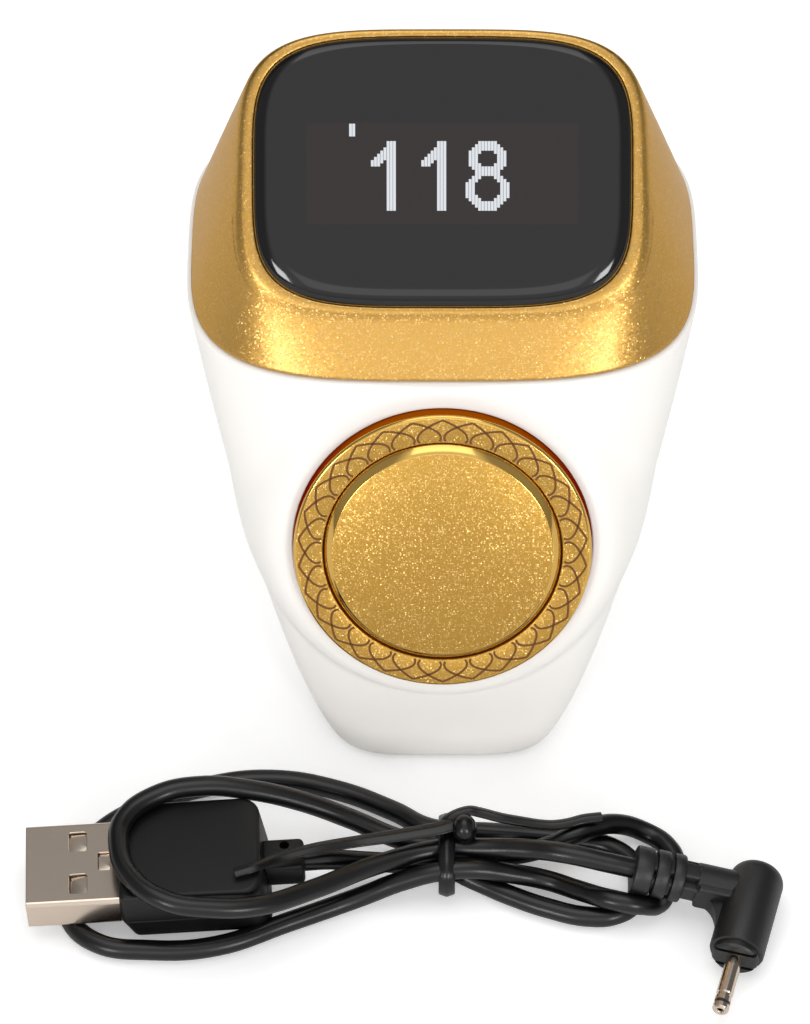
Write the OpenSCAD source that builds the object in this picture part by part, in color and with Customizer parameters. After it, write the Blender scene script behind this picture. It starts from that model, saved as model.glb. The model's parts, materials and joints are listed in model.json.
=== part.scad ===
// Digital tasbih counter with its charging lead, in millimetres.
// The origin is the centre of the foot on the table. The front faces -Y and +Z is up.

/* [Foot and body] */
// Width of the foot
foot_w = 28; // [26:0.5:32]
// Depth of the foot, front to back
foot_d = 40; // [38:0.5:44]
// Height of the seam between the white body and the gold cap
seam_h = 52; // [51:0.5:56]
// Width of the body at the seam
body_w = 61.4; // [58:0.2:68]
// Depth of the body at the seam
body_d = 45; // [43:0.5:50]
// How far the seam's front edge lies behind the foot's front edge
body_lean = 15.3; // [14.5:0.1:16.5]
// Wall of the white body
wall = 1.8; // [1.6:0.1:2.1]

/* [Cap and glass] */
// Width of the glass
glass_w = 44; // [42:0.5:46]
// Length of the glass along its slope
glass_l = 31; // [29:0.5:33]
// Thickness of the glass
glass_t = 1.8; // [1.5:0.1:2.2]
// Slope of the glass, from flat
glass_slope = 44.5; // [40:0.5:48]
// Width of the gold lip round the glass
lip_w = 1.3; // [1:0.1:1.8]
// Height of the lip's front edge above the seam
lip_rise = 6.6; // [5.5:0.1:8]
// How far the lip's front edge lies behind the seam's front edge
lip_back = 4.7; // [4:0.1:6]

/* [Button and ring] */
// Diameter of the gold ring
ring_dia = 35.8; // [34:0.2:36]
// How far the ring stands out of the white body
ring_proud = 2; // [1.5:0.1:2.5]
// Height of the centre of the ring's face
ring_h = 34; // [33:0.1:35]
// Lean of the ring's face, from upright
ring_lean = 24.5; // [23:0.5:26]
// Diameter of the counting button
button_dia = 28.3; // [26:0.1:29]
// Gap all round the button
button_gap = 0.25; // [0.2:0.05:0.4]
// Travel of the button
button_travel = 0.5; // [0.3:0.05:0.6]

/* [Inside] */
// Width of the battery
battery_w = 30; // [24:0.5:31]
// Height of the battery
battery_h = 30; // [24:0.5:30]
// Thickness of the battery
battery_t = 6; // [4:0.5:7]
// Width of the main board
board_w = 26; // [24:0.5:28]
// Height of the main board
board_h = 31; // [28:0.5:32]
// Thickness of the boards
board_t = 1.2; // [0.8:0.1:1.6]
// Diameter of the hole in the back for the charging plug
socket_hole_dia = 4.8; // [4.6:0.1:6]

/* [Charging lead] */
// Diameter of the cable
lead_dia = 2.5; // [2:0.1:2.5]
// Length of the grip of the USB plug
usb_grip_l = 16.9; // [14:0.5:20]
// Width of the grip of the USB plug
usb_grip_w = 14.2; // [13:0.2:16]
// Thickness of the grip of the USB plug
usb_grip_t = 8.1; // [6:0.1:8.2]
// Diameter of the round plug's body
dc_body_dia = 6.6; // [6:0.1:6.8]
// Outer diameter of the round plug's barrel
dc_barrel_dia = 2; // [1.8:0.05:2.2]
// Length of the round plug's barrel
dc_barrel_l = 6.4; // [5:0.1:8]

/* [Hidden] */

// One overrun for every cut, and the fine clearance between fixed pieces
over = 1;
fit = 0.15;

// Outline of the body: an oval that is nearly a rounded square, and how it grows upwards
body_steps = 96;
cap_steps = 72;
seam_square = 3.5;
foot_square = 4.5;
flare_share = 0.72;
front_share = 1.6;
foot_gap = 0.4;
foot_edge = 0.8;
foot_wall = 2.6;
shelf_z = 3;

function super_r(a, n) = pow(pow(abs(cos(a)), n) + pow(abs(sin(a)), n), -1 / n);
function rise(z) = z / seam_h;
function mix(a, b, t) = a + (b - a) * t;
function half_w(z) = mix(foot_w / 2, body_w / 2, pow(rise(z), flare_share));
function front_y(z) = -foot_d / 2 + body_lean * pow(rise(z), front_share);
function back_y(z) = mix(foot_d / 2, body_lean + body_d - foot_d / 2, rise(z));
function square_at(z) = mix(foot_square, seam_square, rise(z));

// Point of the body's outline at height z, drawn in by inset
function body_point(z, a, inset) =
    let(r = super_r(a, square_at(z)), f = front_y(z) + inset, b = back_y(z) - inset)
    [(half_w(z) - inset) * r * cos(a), (f + b) / 2 + (b - f) / 2 * r * sin(a)];

// Seat of the ring: a plane through the seam's front edge, and its axis
seam_front = front_y(seam_h);
seat_z = ring_h - ring_proud * sin(ring_lean);
seat_y = seam_front - (seam_h - seat_z) * tan(ring_lean);
ring_y = seat_y - ring_proud * cos(ring_lean);
ring_r = ring_dia / 2;

// The boss carries the seat: flat round the ring, rounded off beyond it, and blended in
boss_margin = 0.9;
boss_flat_r = ring_r + boss_margin;
boss_edge_r = 1.9;
boss_blend = 2.4;
boss_least_blend = 0.05;
seat_rim = 0.12;
function past_boss(x, z) = max(norm([x, (z - seat_z) / cos(ring_lean)]) - boss_flat_r, 0);
function boss_y(z, past) = seat_y - seat_rim + (z - seat_z) * tan(ring_lean)
    + past * past / (2 * boss_edge_r);
function blend_min(a, b, k) =
    let(h = max(k - abs(a - b), 0) / k) min(a, b) - h * h * k / 4;
function with_boss(p, z, a) =
    let(past = past_boss(p[0], z),
        k = max(boss_blend * min(past / boss_edge_r, 1), boss_least_blend),
        share = max(0, min(1, -2 * sin(a))))
    [p[0], mix(p[1], blend_min(p[1], boss_y(z, past), k), share), z];

// A closed band of outlines: loops[k][i] is point i of loop k, and the last joins the first
function ring_faces(count, n) = [
    for (k = [0:count - 1], i = [0:n - 1])
        let(j = (i + 1) % n, a = k * n, b = ((k + 1) % count) * n)
        each [[a + i, b + j, a + j], [a + i, b + i, b + j]]];
module band(loops, n) {
    polyhedron([for (l = loops) each l], ring_faces(len(loops), n), convexity = 10);
}
function outline(n, half_x, half_y, square) = [
    for (i = [0:n - 1]) let(a = i * 360 / n, r = super_r(a, square))
        [half_x * r * cos(a), half_y * r * sin(a)]];
function lift(points, z) = [for (p = points) [p[0], p[1], z]];

module at_ring() {
    translate([0, ring_y, ring_h]) rotate([90 - ring_lean, 0, 0]) children();
}

// Gold ring and its neck, along the ring's axis
ring_edge = 0.3;
ring_cone = 0.15;
ring_lap = 0.9;
neck_r = ring_r - ring_lap;
neck_clear = 0.1;
neck_l = 10.8;
neck_wall = 0.9;
bore_r = button_dia / 2 + button_gap;
shoulder_z = -3.6;
clip_w = 1.7;
clip_t = 1.2;
clip_z = -7.5;

// Charging socket in the back, on its own small board
socket_z = 8.4;
socket_w = 6;
socket_back_gap = 1.18;
socket_front = back_y(socket_z) - wall - socket_back_gap;
socket_l = 7.8;
socket_nose_r = 2.1;
socket_nose_l = 1.9;
socket_bore_r = 1.1;
socket_depth = 7;
socket_pin_r = 0.3;
socket_pin_l = 5.5;

// Heights of the body's outlines
body_rows = 26;
function row_z(k) = mix(foot_gap + foot_edge, seam_h, k / body_rows);
bottom_in = [for (i = [0:body_steps - 1])
    body_point(foot_gap, i * 360 / body_steps, foot_wall)];

module white_body() {
    n = body_steps;
    outer = [
        [for (i = [0:n - 1]) with_boss(body_point(foot_gap, i * 360 / n, foot_edge), foot_gap,
            i * 360 / n)],
        for (k = [0:body_rows]) [for (i = [0:n - 1]) let(a = i * 360 / n)
            with_boss(body_point(row_z(k), a, 0), row_z(k), a)]];
    inner_rows = 6;
    inner = [
        for (k = [inner_rows:-1:0]) let(z = mix(shelf_z, seam_h, k / inner_rows))
            lift([for (i = [0:n - 1]) body_point(z, i * 360 / n, wall)], z),
        lift(bottom_in, shelf_z),
        lift(bottom_in, foot_gap)];
    color("ivory") difference() {
        band(concat(outer, inner), n);
        at_ring() {
            translate([0, 0, -ring_proud])
                cylinder(r = ring_r + neck_clear, h = 3 * ring_proud, $fn = 96);
            translate([0, 0, -neck_l - carrier_lid_t])
                cylinder(r = neck_r + neck_clear, h = neck_l + carrier_lid_t, $fn = 96);
        }
        translate([0, socket_front - over, socket_z]) rotate([-90, 0, 0])
            cylinder(d = socket_hole_dia, h = body_d, $fn = 48);
    }
}

// Bottom: pad, cover and screws, held up to the inner frame
pad_t = 1;
cover_t = shelf_z - pad_t;
flange_t = 2;
flange_reach = 0.35;
screw_spots = [for (x = [-1, 1], y = [-0.4, 0.7]) [x * foot_w * 0.27, y * foot_d / 2]];
screw_r = 0.9;
screw_head_r = 1.9;
screw_head_h = 1.1;
screw_l = 4.6;
boss_r = 2.2;
boss_h = 3;

module bottom_plate(z, t, gap) {
    half = [foot_w / 2 - foot_wall - gap, foot_d / 2 - foot_wall - gap];
    translate([0, 0, z]) linear_extrude(t)
        polygon(outline(cap_steps, half[0], half[1], foot_square));
}
module foot_pad() {
    color("dimgray") bottom_plate(0, pad_t, fit);
}
module base_cover() {
    color("ivory") difference() {
        bottom_plate(pad_t, cover_t, fit);
        for (p = screw_spots) translate([p[0], p[1], 0]) {
            cylinder(r = screw_r + fit, h = shelf_z + over, $fn = 32);
            cylinder(r = screw_head_r + fit, h = pad_t + screw_head_h, $fn = 32);
        }
    }
}
module base_screws() {
    color("silver") for (p = screw_spots) translate([p[0], p[1], pad_t]) {
        cylinder(r = screw_head_r, h = screw_head_h, $fn = 32);
        cylinder(r = screw_r, h = screw_head_h + screw_l, $fn = 32);
    }
}

// Inner frame: a flange on the shelf, two legs and an upright that carries battery and board
upright_back = 13.7;
upright_y = seam_front + upright_back;
upright_t = 1.6;
leg_w = 5.5;
tray_z = 13.4;
tray_t = 1.5;
tray_lip = 1.2;
tray_lip_d = 4.5;
standoff_l = 2.3;
standoff_r = 1.8;
board_rise = 0.6;
board_z = tray_z + board_rise;
board_y = upright_y - standoff_l - board_t;
board_inset = 2.5;
battery_z = tray_z + tray_t;
upright_spare = 1;
upright_top = max(battery_z + battery_h, board_z + board_h) + upright_spare;
board_spots = [for (x = [-1, 1], z = [board_inset, board_h - board_inset])
    [x * (board_w / 2 - board_inset), board_z + z]];
small_screw_r = 0.6;
small_head_r = 1.3;
small_head_h = 0.8;

module inner_frame() {
    tray_w = battery_w + 2 * (fit + tray_lip);
    flange_z = shelf_z + flange_t;
    color("gainsboro") difference() {
        union() {
            bottom_plate(shelf_z, flange_t, -flange_reach);
            for (p = screw_spots) translate([p[0], p[1], flange_z])
                cylinder(r = boss_r, h = boss_h, $fn = 32);
            for (x = [-leg_w - socket_board_w / 2 - leg_gap, socket_board_w / 2 + leg_gap])
                translate([x, upright_y, shelf_z + flange_t / 2])
                    cube([leg_w, upright_t, tray_z - shelf_z]);
            translate([-tray_w / 2, upright_y, tray_z])
                cube([tray_w, upright_t, upright_top - tray_z]);
            translate([-tray_w / 2, upright_y, tray_z])
                cube([tray_w, upright_t + battery_t + fit, tray_t]);
            for (x = [-tray_w / 2, tray_w / 2 - tray_lip])
                translate([x, upright_y, tray_z]) cube([tray_lip, upright_t + tray_lip_d,
                    upright_top - tray_z]);
            for (p = board_spots) translate([p[0], upright_y + upright_t / 2, p[1]])
                rotate([90, 0, 0]) cylinder(r = standoff_r, h = standoff_l + upright_t / 2,
                    $fn = 32);
        }
        for (p = screw_spots) translate([p[0], p[1], shelf_z - over])
            cylinder(r = screw_r + fit / 2, h = flange_t + boss_h + over, $fn = 32);
        for (p = board_spots) translate([p[0], upright_y + upright_t + over, p[1]])
            rotate([90, 0, 0]) cylinder(r = small_screw_r + fit / 3,
                h = standoff_l + upright_t + 2 * over, $fn = 32);
    }
}

// Frame of the glass: X across, Y up its slope, Z out of it
lip_gap = 0.15;
glass_square = 4.1;
glass_proud = 0.9;
gasket_t = 0.3;
glass_seat = glass_t - glass_proud + gasket_t;
ledge_w = 3;
ledge_t = 1.2;
lip_drop = 0.35;
cap_bulge = 0.1;
crease_wide = 1.025;
crease_taper = 0.02;
cap_inset = 0.55;
skirt_h = 2;
skirt_t = 1.4;
skirt_gap = 0.2;
seam_gap = 0.05;
lip_half = [glass_w / 2 + lip_gap + lip_w, glass_l / 2 + lip_gap + lip_w];
glass_y = seam_front + lip_back + lip_half[1] * cos(glass_slope);
glass_z = seam_h + lip_rise + lip_half[1] * sin(glass_slope);
function from_glass(p) = [p[0],
    glass_y + p[1] * cos(glass_slope) - p[2] * sin(glass_slope),
    glass_z + p[1] * sin(glass_slope) + p[2] * cos(glass_slope)];
module at_glass() {
    translate([0, glass_y, glass_z]) rotate([glass_slope, 0, 0]) children();
}

// Pegs under the ledge that the display's frame is screwed to
peg_r = 1.6;
peg_l = 1.1;
peg_margin = 1.5;
peg_x = glass_w / 2 + lip_gap - ledge_w + peg_margin;
peg_y = glass_l * 0.26;
peg_spots = [for (x = [-1, 1], y = [-1, 1]) [x * peg_x, y * peg_y]];
ledge_low = -glass_seat - ledge_t;

function glass_loop(inset, w) = [for (p = outline(cap_steps, glass_w / 2 + lip_gap - inset,
    glass_l / 2 + lip_gap - inset, glass_square)) from_glass([p[0], p[1], w])];
function seam_loop(inset, z) = [for (i = [0:cap_steps - 1])
    let(p = body_point(seam_h, i * 360 / cap_steps, inset)) [p[0], p[1], z]];

// The skirt drops into the body, so it clears the leaning wall at its top and at its foot
function skirt_point(a, inset) =
    let(low = body_point(seam_h - skirt_h, a, inset), high = body_point(seam_h, a, inset))
    [low[0], sin(a) < 0 ? max(low[1], high[1]) : min(low[1], high[1])];

module bezel_cap() {
    n = cap_steps;
    low = seam_loop(cap_inset, seam_h + seam_gap);
    crease = [for (p = outline(n, lip_half[0], lip_half[1], glass_square))
        from_glass([p[0] * (crease_wide - crease_taper * p[1] / lip_half[1]), p[1],
            -lip_drop])];
    skin = [for (t = [0.25, 0.5, 0.75]) [for (i = [0:n - 1]) mix(low[i], crease[i], t)
        + cap_bulge * sin(180 * t) * [cos(i * 360 / n), sin(i * 360 / n), 0]]];
    skirt_out = [for (i = [0:n - 1]) skirt_point(i * 360 / n, wall + skirt_gap)];
    skirt_in = [for (i = [0:n - 1]) skirt_point(i * 360 / n, wall + skirt_gap + skirt_t)];
    color("goldenrod") difference() {
        union() {
            band(concat([low], skin, [crease, glass_loop(0, 0), glass_loop(0, -glass_seat),
                glass_loop(ledge_w, -glass_seat), glass_loop(ledge_w, ledge_low),
                glass_loop(-fit, ledge_low), lift(skirt_in, seam_h + seam_gap),
                lift(skirt_in, seam_h - skirt_h), lift(skirt_out, seam_h - skirt_h),
                lift(skirt_out, seam_h + seam_gap)]), n);
            at_glass() for (p = peg_spots) translate([p[0], p[1], ledge_low - peg_l])
                cylinder(r = peg_r, h = peg_l + ledge_t / 2, $fn = 32);
        }
        at_glass() for (p = peg_spots) translate([p[0], p[1], ledge_low - peg_l - over])
            cylinder(r = small_screw_r, h = peg_l + ledge_t / 2 + over, $fn = 32);
    }
}

// Glass with a rounded edge: how far each outline is drawn in, and its height in the edge
glass_edge_w = 2.1;
glass_edge_shares = [[0, 0], [0.02, 0.45], [0.12, 0.7], [0.35, 0.88], [0.65, 0.97], [1, 1]];
module display_glass() {
    n = cap_steps;
    rows = [for (s = glass_edge_shares) [for (p = outline(n, glass_w / 2 - s[0] * glass_edge_w,
        glass_l / 2 - s[0] * glass_edge_w, glass_square))
        [p[0], p[1], glass_proud - glass_t * (1 - s[1])]]];
    count = len(rows);
    sides = [for (k = [0:count - 2], i = [0:n - 1])
        let(j = (i + 1) % n, a = k * n, b = (k + 1) * n)
        each [[a + i, b + j, a + j], [a + i, b + i, b + j]]];
    caps = [[for (i = [0:n - 1]) i], [for (i = [n - 1:-1:0]) (count - 1) * n + i]];
    color("black") at_glass()
        polyhedron([for (r = rows) each r], concat(sides, caps), convexity = 4);
}
module glass_ring(half_out, half_in, z, t) {
    translate([0, 0, z]) linear_extrude(t) difference() {
        polygon(outline(cap_steps, half_out[0], half_out[1], glass_square));
        polygon(outline(cap_steps, half_in[0], half_in[1], glass_square));
    }
}
module glass_gasket() {
    half = [glass_w / 2, glass_l / 2];
    hole = [lip_gap - ledge_w + fit, lip_gap - ledge_w + fit];
    color("black") at_glass() glass_ring(half, half + hole, -glass_seat, gasket_t);
}

// Display module, clamped under the window
panel = [36, 17, 1.5];
panel_board = [37, 20, 1];
frame_t = 1.5;
frame_margin = 1.5;
panel_gap = 0.1;
panel_top = glass_proud - glass_t - panel_gap;
panel_low = panel_top - panel[2];
frame_top = ledge_low - peg_l;
panel_board_top = min(panel_low, frame_top + panel_board[2]);
ear_r = 1.4;
frame_screw_l = 3;

module slab(size, top) {
    translate([-size[0] / 2, -size[1] / 2, top - size[2]]) cube(size);
}
module oled_panel() {
    color("darkslategray") at_glass() slab([panel[0], panel[1], panel_top - panel_board_top],
        panel_top);
}
module oled_board() {
    color("darkgreen") at_glass() slab([panel_board[0], panel_board[1],
        panel_board_top - frame_top], panel_board_top);
}
module oled_frame() {
    color("gainsboro") at_glass() difference() {
        union() {
            slab([panel_board[0], panel_board[1] + 2 * frame_margin, frame_t], frame_top);
            for (p = peg_spots) translate([p[0], p[1], frame_top - frame_t]) {
                cylinder(r = ear_r, h = frame_t, $fn = 32);
                translate([p[0] > 0 ? -2 * ear_r : 0, -ear_r / 2, 0])
                    cube([2 * ear_r, ear_r, frame_t]);
            }
        }
        for (p = peg_spots) translate([p[0], p[1], frame_top - frame_t - over])
            cylinder(r = small_screw_r + fit, h = frame_t + 2 * over, $fn = 32);
        translate([-flex_w / 2 - fit, -panel_board[1] / 2 - frame_margin - over,
            frame_top - frame_t - over])
            cube([flex_w + 2 * fit, frame_margin + over, frame_t + 2 * over]);
    }
}
module frame_screws() {
    color("silver") at_glass() for (p = peg_spots)
        translate([p[0], p[1], frame_top - frame_t - small_head_h]) {
            cylinder(r = small_head_r, h = small_head_h, $fn = 32);
            cylinder(r = small_screw_r - fit / 3, h = small_head_h + frame_screw_l - fit,
                $fn = 32);
        }
}

// A tube swept along points, w wide and t thick, with its ends square to the route
function unit(v) = v / norm(v);
function heading(p, i) = unit(p[min(i + 1, len(p) - 1)] - p[max(i - 1, 0)]);
function sweep_ring(p, i, w, t, sides) =
    let(d = heading(p, i), s = unit(cross(d, abs(d[2]) > 0.9 ? [1, 0, 0] : [0, 0, 1])),
        u = cross(s, d))
    [for (k = [0:sides - 1]) let(a = (k + 0.5) * 360 / sides)
        p[i] + w / 2 * cos(a) * s + t / 2 * sin(a) * u];
module sweep(p, w, t, sides) {
    m = len(p);
    points = [for (i = [0:m - 1]) each sweep_ring(p, i, w, t, sides)];
    walls = [for (i = [0:m - 2], k = [0:sides - 1])
        let(j = (k + 1) % sides, a = i * sides, b = a + sides)
        each [[a + k, a + j, b + j], [a + k, b + j, b + k]]];
    ends = [[for (k = [sides - 1:-1:0]) k], [for (k = [0:sides - 1]) (m - 1) * sides + k]];
    polyhedron(points, concat(walls, ends), convexity = 10);
}

// Connector on the board and the display's flat cable that drops into it
connector = [11, 1.5, 2.6];
connector_drop = 3.2;
connector_z = board_z + board_h - connector_drop;
flex_w = 9;
flex_t = 0.2;
module oled_flex() {
    top = from_glass([0, -panel_board[1] / 2 - flex_t, frame_top + panel_board[2] / 2]);
    low = [board_y - connector[1] / 2, connector_z + connector[2]];
    path = [[top[1], top[2]], [mix(top[1], low[0], 0.3), mix(top[2], low[1], 0.15)],
        [mix(top[1], low[0], 0.9), mix(top[2], low[1], 0.6)], low];
    back = [for (i = [len(path) - 1:-1:0]) path[i] - [flex_t, 0]];
    color("peru") translate([-flex_w / 2, 0, 0]) rotate([90, 0, 90]) linear_extrude(flex_w)
        polygon(concat(path, back));
}

module button_ring() {
    color("goldenrod") at_ring() rotate_extrude($fn = 96) polygon([
        [bore_r + ring_edge, 0], [ring_r - ring_cone - ring_edge, 0],
        [ring_r - ring_cone, -ring_edge],
        [ring_r, -ring_proud], [neck_r, -ring_proud], [neck_r, -neck_l],
        [neck_r - neck_wall, -neck_l], [neck_r - neck_wall, shoulder_z],
        [bore_r, shoulder_z], [bore_r, -ring_edge]]);
}
module ring_clip() {
    color("gray") at_ring() translate([0, 0, clip_z - clip_t]) difference() {
        cylinder(r = neck_r + clip_w, h = clip_t, $fn = 96);
        translate([0, 0, -over]) cylinder(r = neck_r + neck_clear, h = clip_t + 2 * over,
            $fn = 96);
    }
}

// Counting button: face just proud of the ring, a polished bevel and a captive flange
face_proud = 0.75;
face_bevel = 0.95;
button_flange = 1.2;
flange_gap = 0.1;
flange_clear = 0.3;
stem_r = 2.5;
stem_l = 0.5;
button_low = shoulder_z - flange_gap - button_flange;
module count_button() {
    r = button_dia / 2;
    flange_r = neck_r - neck_wall - flange_clear;
    color("darkgoldenrod") at_ring() rotate_extrude($fn = 96) polygon([
        [0, face_proud], [r - face_bevel, face_proud], [r, face_proud - face_bevel],
        [r, shoulder_z - flange_gap], [flange_r, shoulder_z - flange_gap],
        [flange_r, button_low], [stem_r, button_low], [stem_r, button_low - stem_l],
        [0, button_low - stem_l]]);
}

// Switch under the button, with a soft ring that lifts the button again
plunger_r = 1.7;
plunger_l = 1.45;
plunger_gap = 0.05;
plunger_spare = 0.2;
switch_w = 6;
switch_h = 2.6;
switch_top = -6.3;
switch_low = switch_top - switch_h;
switch_board_r = 12;
pad_in_r = 8.5;
pad_out_r = 10.5;
carrier_lid_t = 1.5;
wire_hole_r = 2.5;
plunger_top = button_low - stem_l - plunger_gap;
switch_board_t = 1;
switch_board_low = switch_low - switch_board_t;

module return_pad() {
    color("white") at_ring() translate([0, 0, switch_low]) difference() {
        cylinder(r = pad_out_r, h = button_low - switch_low, $fn = 64);
        translate([0, 0, -over]) cylinder(r = pad_in_r, h = button_low - switch_low + 2 * over,
            $fn = 64);
    }
}
module switch_plunger() {
    color("dimgray") at_ring() translate([0, 0, plunger_top - plunger_l])
        cylinder(r = plunger_r, h = plunger_l, $fn = 48);
}
module tact_switch() {
    color("black") at_ring() difference() {
        translate([-switch_w / 2, -switch_w / 2, switch_low])
            cube([switch_w, switch_w, switch_h]);
        translate([0, 0, plunger_top - plunger_l - button_travel
            - plunger_spare])
            cylinder(r = plunger_r + plunger_gap, h = switch_h, $fn = 48);
    }
}
module switch_board() {
    color("darkgreen") at_ring() translate([0, 0, switch_board_low])
        cylinder(r = switch_board_r, h = switch_low - switch_board_low, $fn = 64);
}
module switch_carrier() {
    spigot_r = neck_r - neck_wall - fit;
    color("gainsboro") at_ring() difference() {
        union() {
            translate([0, 0, -neck_l - carrier_lid_t]) cylinder(r = neck_r, h = carrier_lid_t,
                $fn = 96);
            translate([0, 0, -neck_l]) cylinder(r = spigot_r, h = neck_l + switch_board_low,
                $fn = 96);
        }
        translate([0, 0, -neck_l - carrier_lid_t - over])
            cylinder(r = wire_hole_r, h = neck_l, $fn = 48);
    }
}

// Inside wires: thickness and the pairs' spacing
wire_dia = 1.1;
wire_sides = 8;
wire_pitch = 1.4;
bend = 2.2;
module wire_pair(p) {
    for (x = [-1, 1]) sweep([for (q = p) q + [x * wire_pitch / 2, 0, 0]], wire_dia, wire_dia,
        wire_sides);
}
module button_wires() {
    out = [0, cos(ring_lean), -sin(ring_lean)];
    start = [0, ring_y, ring_h] - switch_board_low * out;
    reach = (board_y - 2 * bend - start[1]) / out[1];
    knee = start + reach * out;
    low = knee[2] - bend / 4;
    color("firebrick") wire_pair([start, start + 0.5 * reach * out, knee,
        [0, board_y - bend, low], [0, board_y, low]]);
}

module main_board() {
    color("darkgreen") difference() {
        translate([-board_w / 2, board_y, board_z]) cube([board_w, board_t, board_h]);
        for (p = board_spots) translate([p[0], board_y + board_t + over, p[1]])
            rotate([90, 0, 0]) cylinder(r = small_screw_r + fit, h = board_t + 2 * over,
                $fn = 32);
    }
}
chip_h = 1.1;
// Each part on the board: its middle across, its bottom edge up, its width and its height,
// as shares of the board's width and height
chip_shares = [[-0.17, 0.13, 0.23, 0.19], [0.21, 0.11, 0.15, 0.13], [0.23, 0.6, 0.12, 0.08],
    [-0.27, 0.69, 0.12, 0.1]];
module board_chips() {
    color("black") for (c = chip_shares)
        translate([(c[0] - c[2] / 2) * board_w, board_y - chip_h, board_z + c[1] * board_h])
            cube([c[2] * board_w, chip_h, c[3] * board_h]);
    color("ivory") difference() {
        translate([-connector[0] / 2, board_y - connector[1], connector_z]) cube(connector);
        translate([-flex_w / 2 - fit, board_y - connector[1] / 2 - 2 * flex_t, connector_z
            + connector[2] / 2]) cube([flex_w + 2 * fit, 3 * flex_t, connector[2]]);
    }
}
module board_screws() {
    shank = standoff_l + board_t;
    color("silver") for (p = board_spots)
        translate([p[0], board_y, p[1]]) rotate([90, 0, 0]) {
            cylinder(r = small_head_r, h = small_head_h, $fn = 32);
            translate([0, 0, -shank]) cylinder(r = small_screw_r, h = shank + small_head_h,
                $fn = 32);
        }
}

battery_y = upright_y + upright_t + fit;
module battery() {
    color("silver") translate([0, battery_y, battery_z]) union() {
        for (x = [-1, 1]) translate([x * (battery_w / 2 - battery_t / 2), battery_t / 2, 0])
            cylinder(d = battery_t, h = battery_h, $fn = 48);
        translate([-battery_w / 2 + battery_t / 2, 0, 0])
            cube([battery_w - battery_t, battery_t, battery_h]);
    }
}
module battery_wires() {
    top = battery_z + battery_h;
    edge = board_z + board_h;
    y0 = battery_y + battery_t / 2;
    y1 = board_y + board_t / 2;
    high = max(top, upright_top) + bend;
    color("firebrick") wire_pair([[0, y0, top], [0, y0, top + bend / 2],
        [0, y0 - bend / 2, high], [0, mix(y0, y1, 0.6), high + bend / 4],
        [0, y1 + bend / 3, high - bend / 4], [0, y1, edge + bend / 2], [0, y1, edge]]);
}

// Small board on the frame's flange with the charging socket
socket_board_reach = 1;
socket_board_y = socket_front - socket_l - socket_board_reach;
socket_board_l = 7.5;
socket_board_w = 10;
leg_gap = 0.5;
module socket_board() {
    color("darkgreen") translate([-socket_board_w / 2, socket_board_y, shelf_z + flange_t])
        cube([socket_board_w, socket_board_l, board_t]);
}
module charge_socket() {
    low = shelf_z + flange_t + board_t;
    color("black") difference() {
        union() {
            translate([-socket_w / 2, socket_front - socket_l, low])
                cube([socket_w, socket_l, 2 * (socket_z - low)]);
            translate([0, socket_front - over, socket_z]) rotate([-90, 0, 0])
                cylinder(r = socket_nose_r, h = socket_nose_l + over, $fn = 48);
        }
        translate([0, socket_front + socket_nose_l - socket_depth, socket_z])
            rotate([-90, 0, 0]) cylinder(r = socket_bore_r, h = socket_depth + over, $fn = 48);
    }
}
module socket_pin() {
    color("gold") translate([0, socket_front + socket_nose_l - socket_depth, socket_z])
        rotate([-90, 0, 0]) cylinder(r = socket_pin_r, h = socket_pin_l, $fn = 32);
}
module socket_wires() {
    z0 = shelf_z + flange_t + board_t / 2 + wire_dia / 2;
    y1 = board_y + board_t / 2;
    knee = min(upright_y, socket_board_y) - bend / 2;
    color("firebrick") wire_pair([[0, socket_board_y, z0],
        [0, socket_board_y - bend / 2, z0], [0, knee, z0 + bend / 2],
        [0, min(y1 + bend / 4, knee), z0 + 2 * bend], [0, y1, board_z - bend / 2],
        [0, y1, board_z]]);
}

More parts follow.
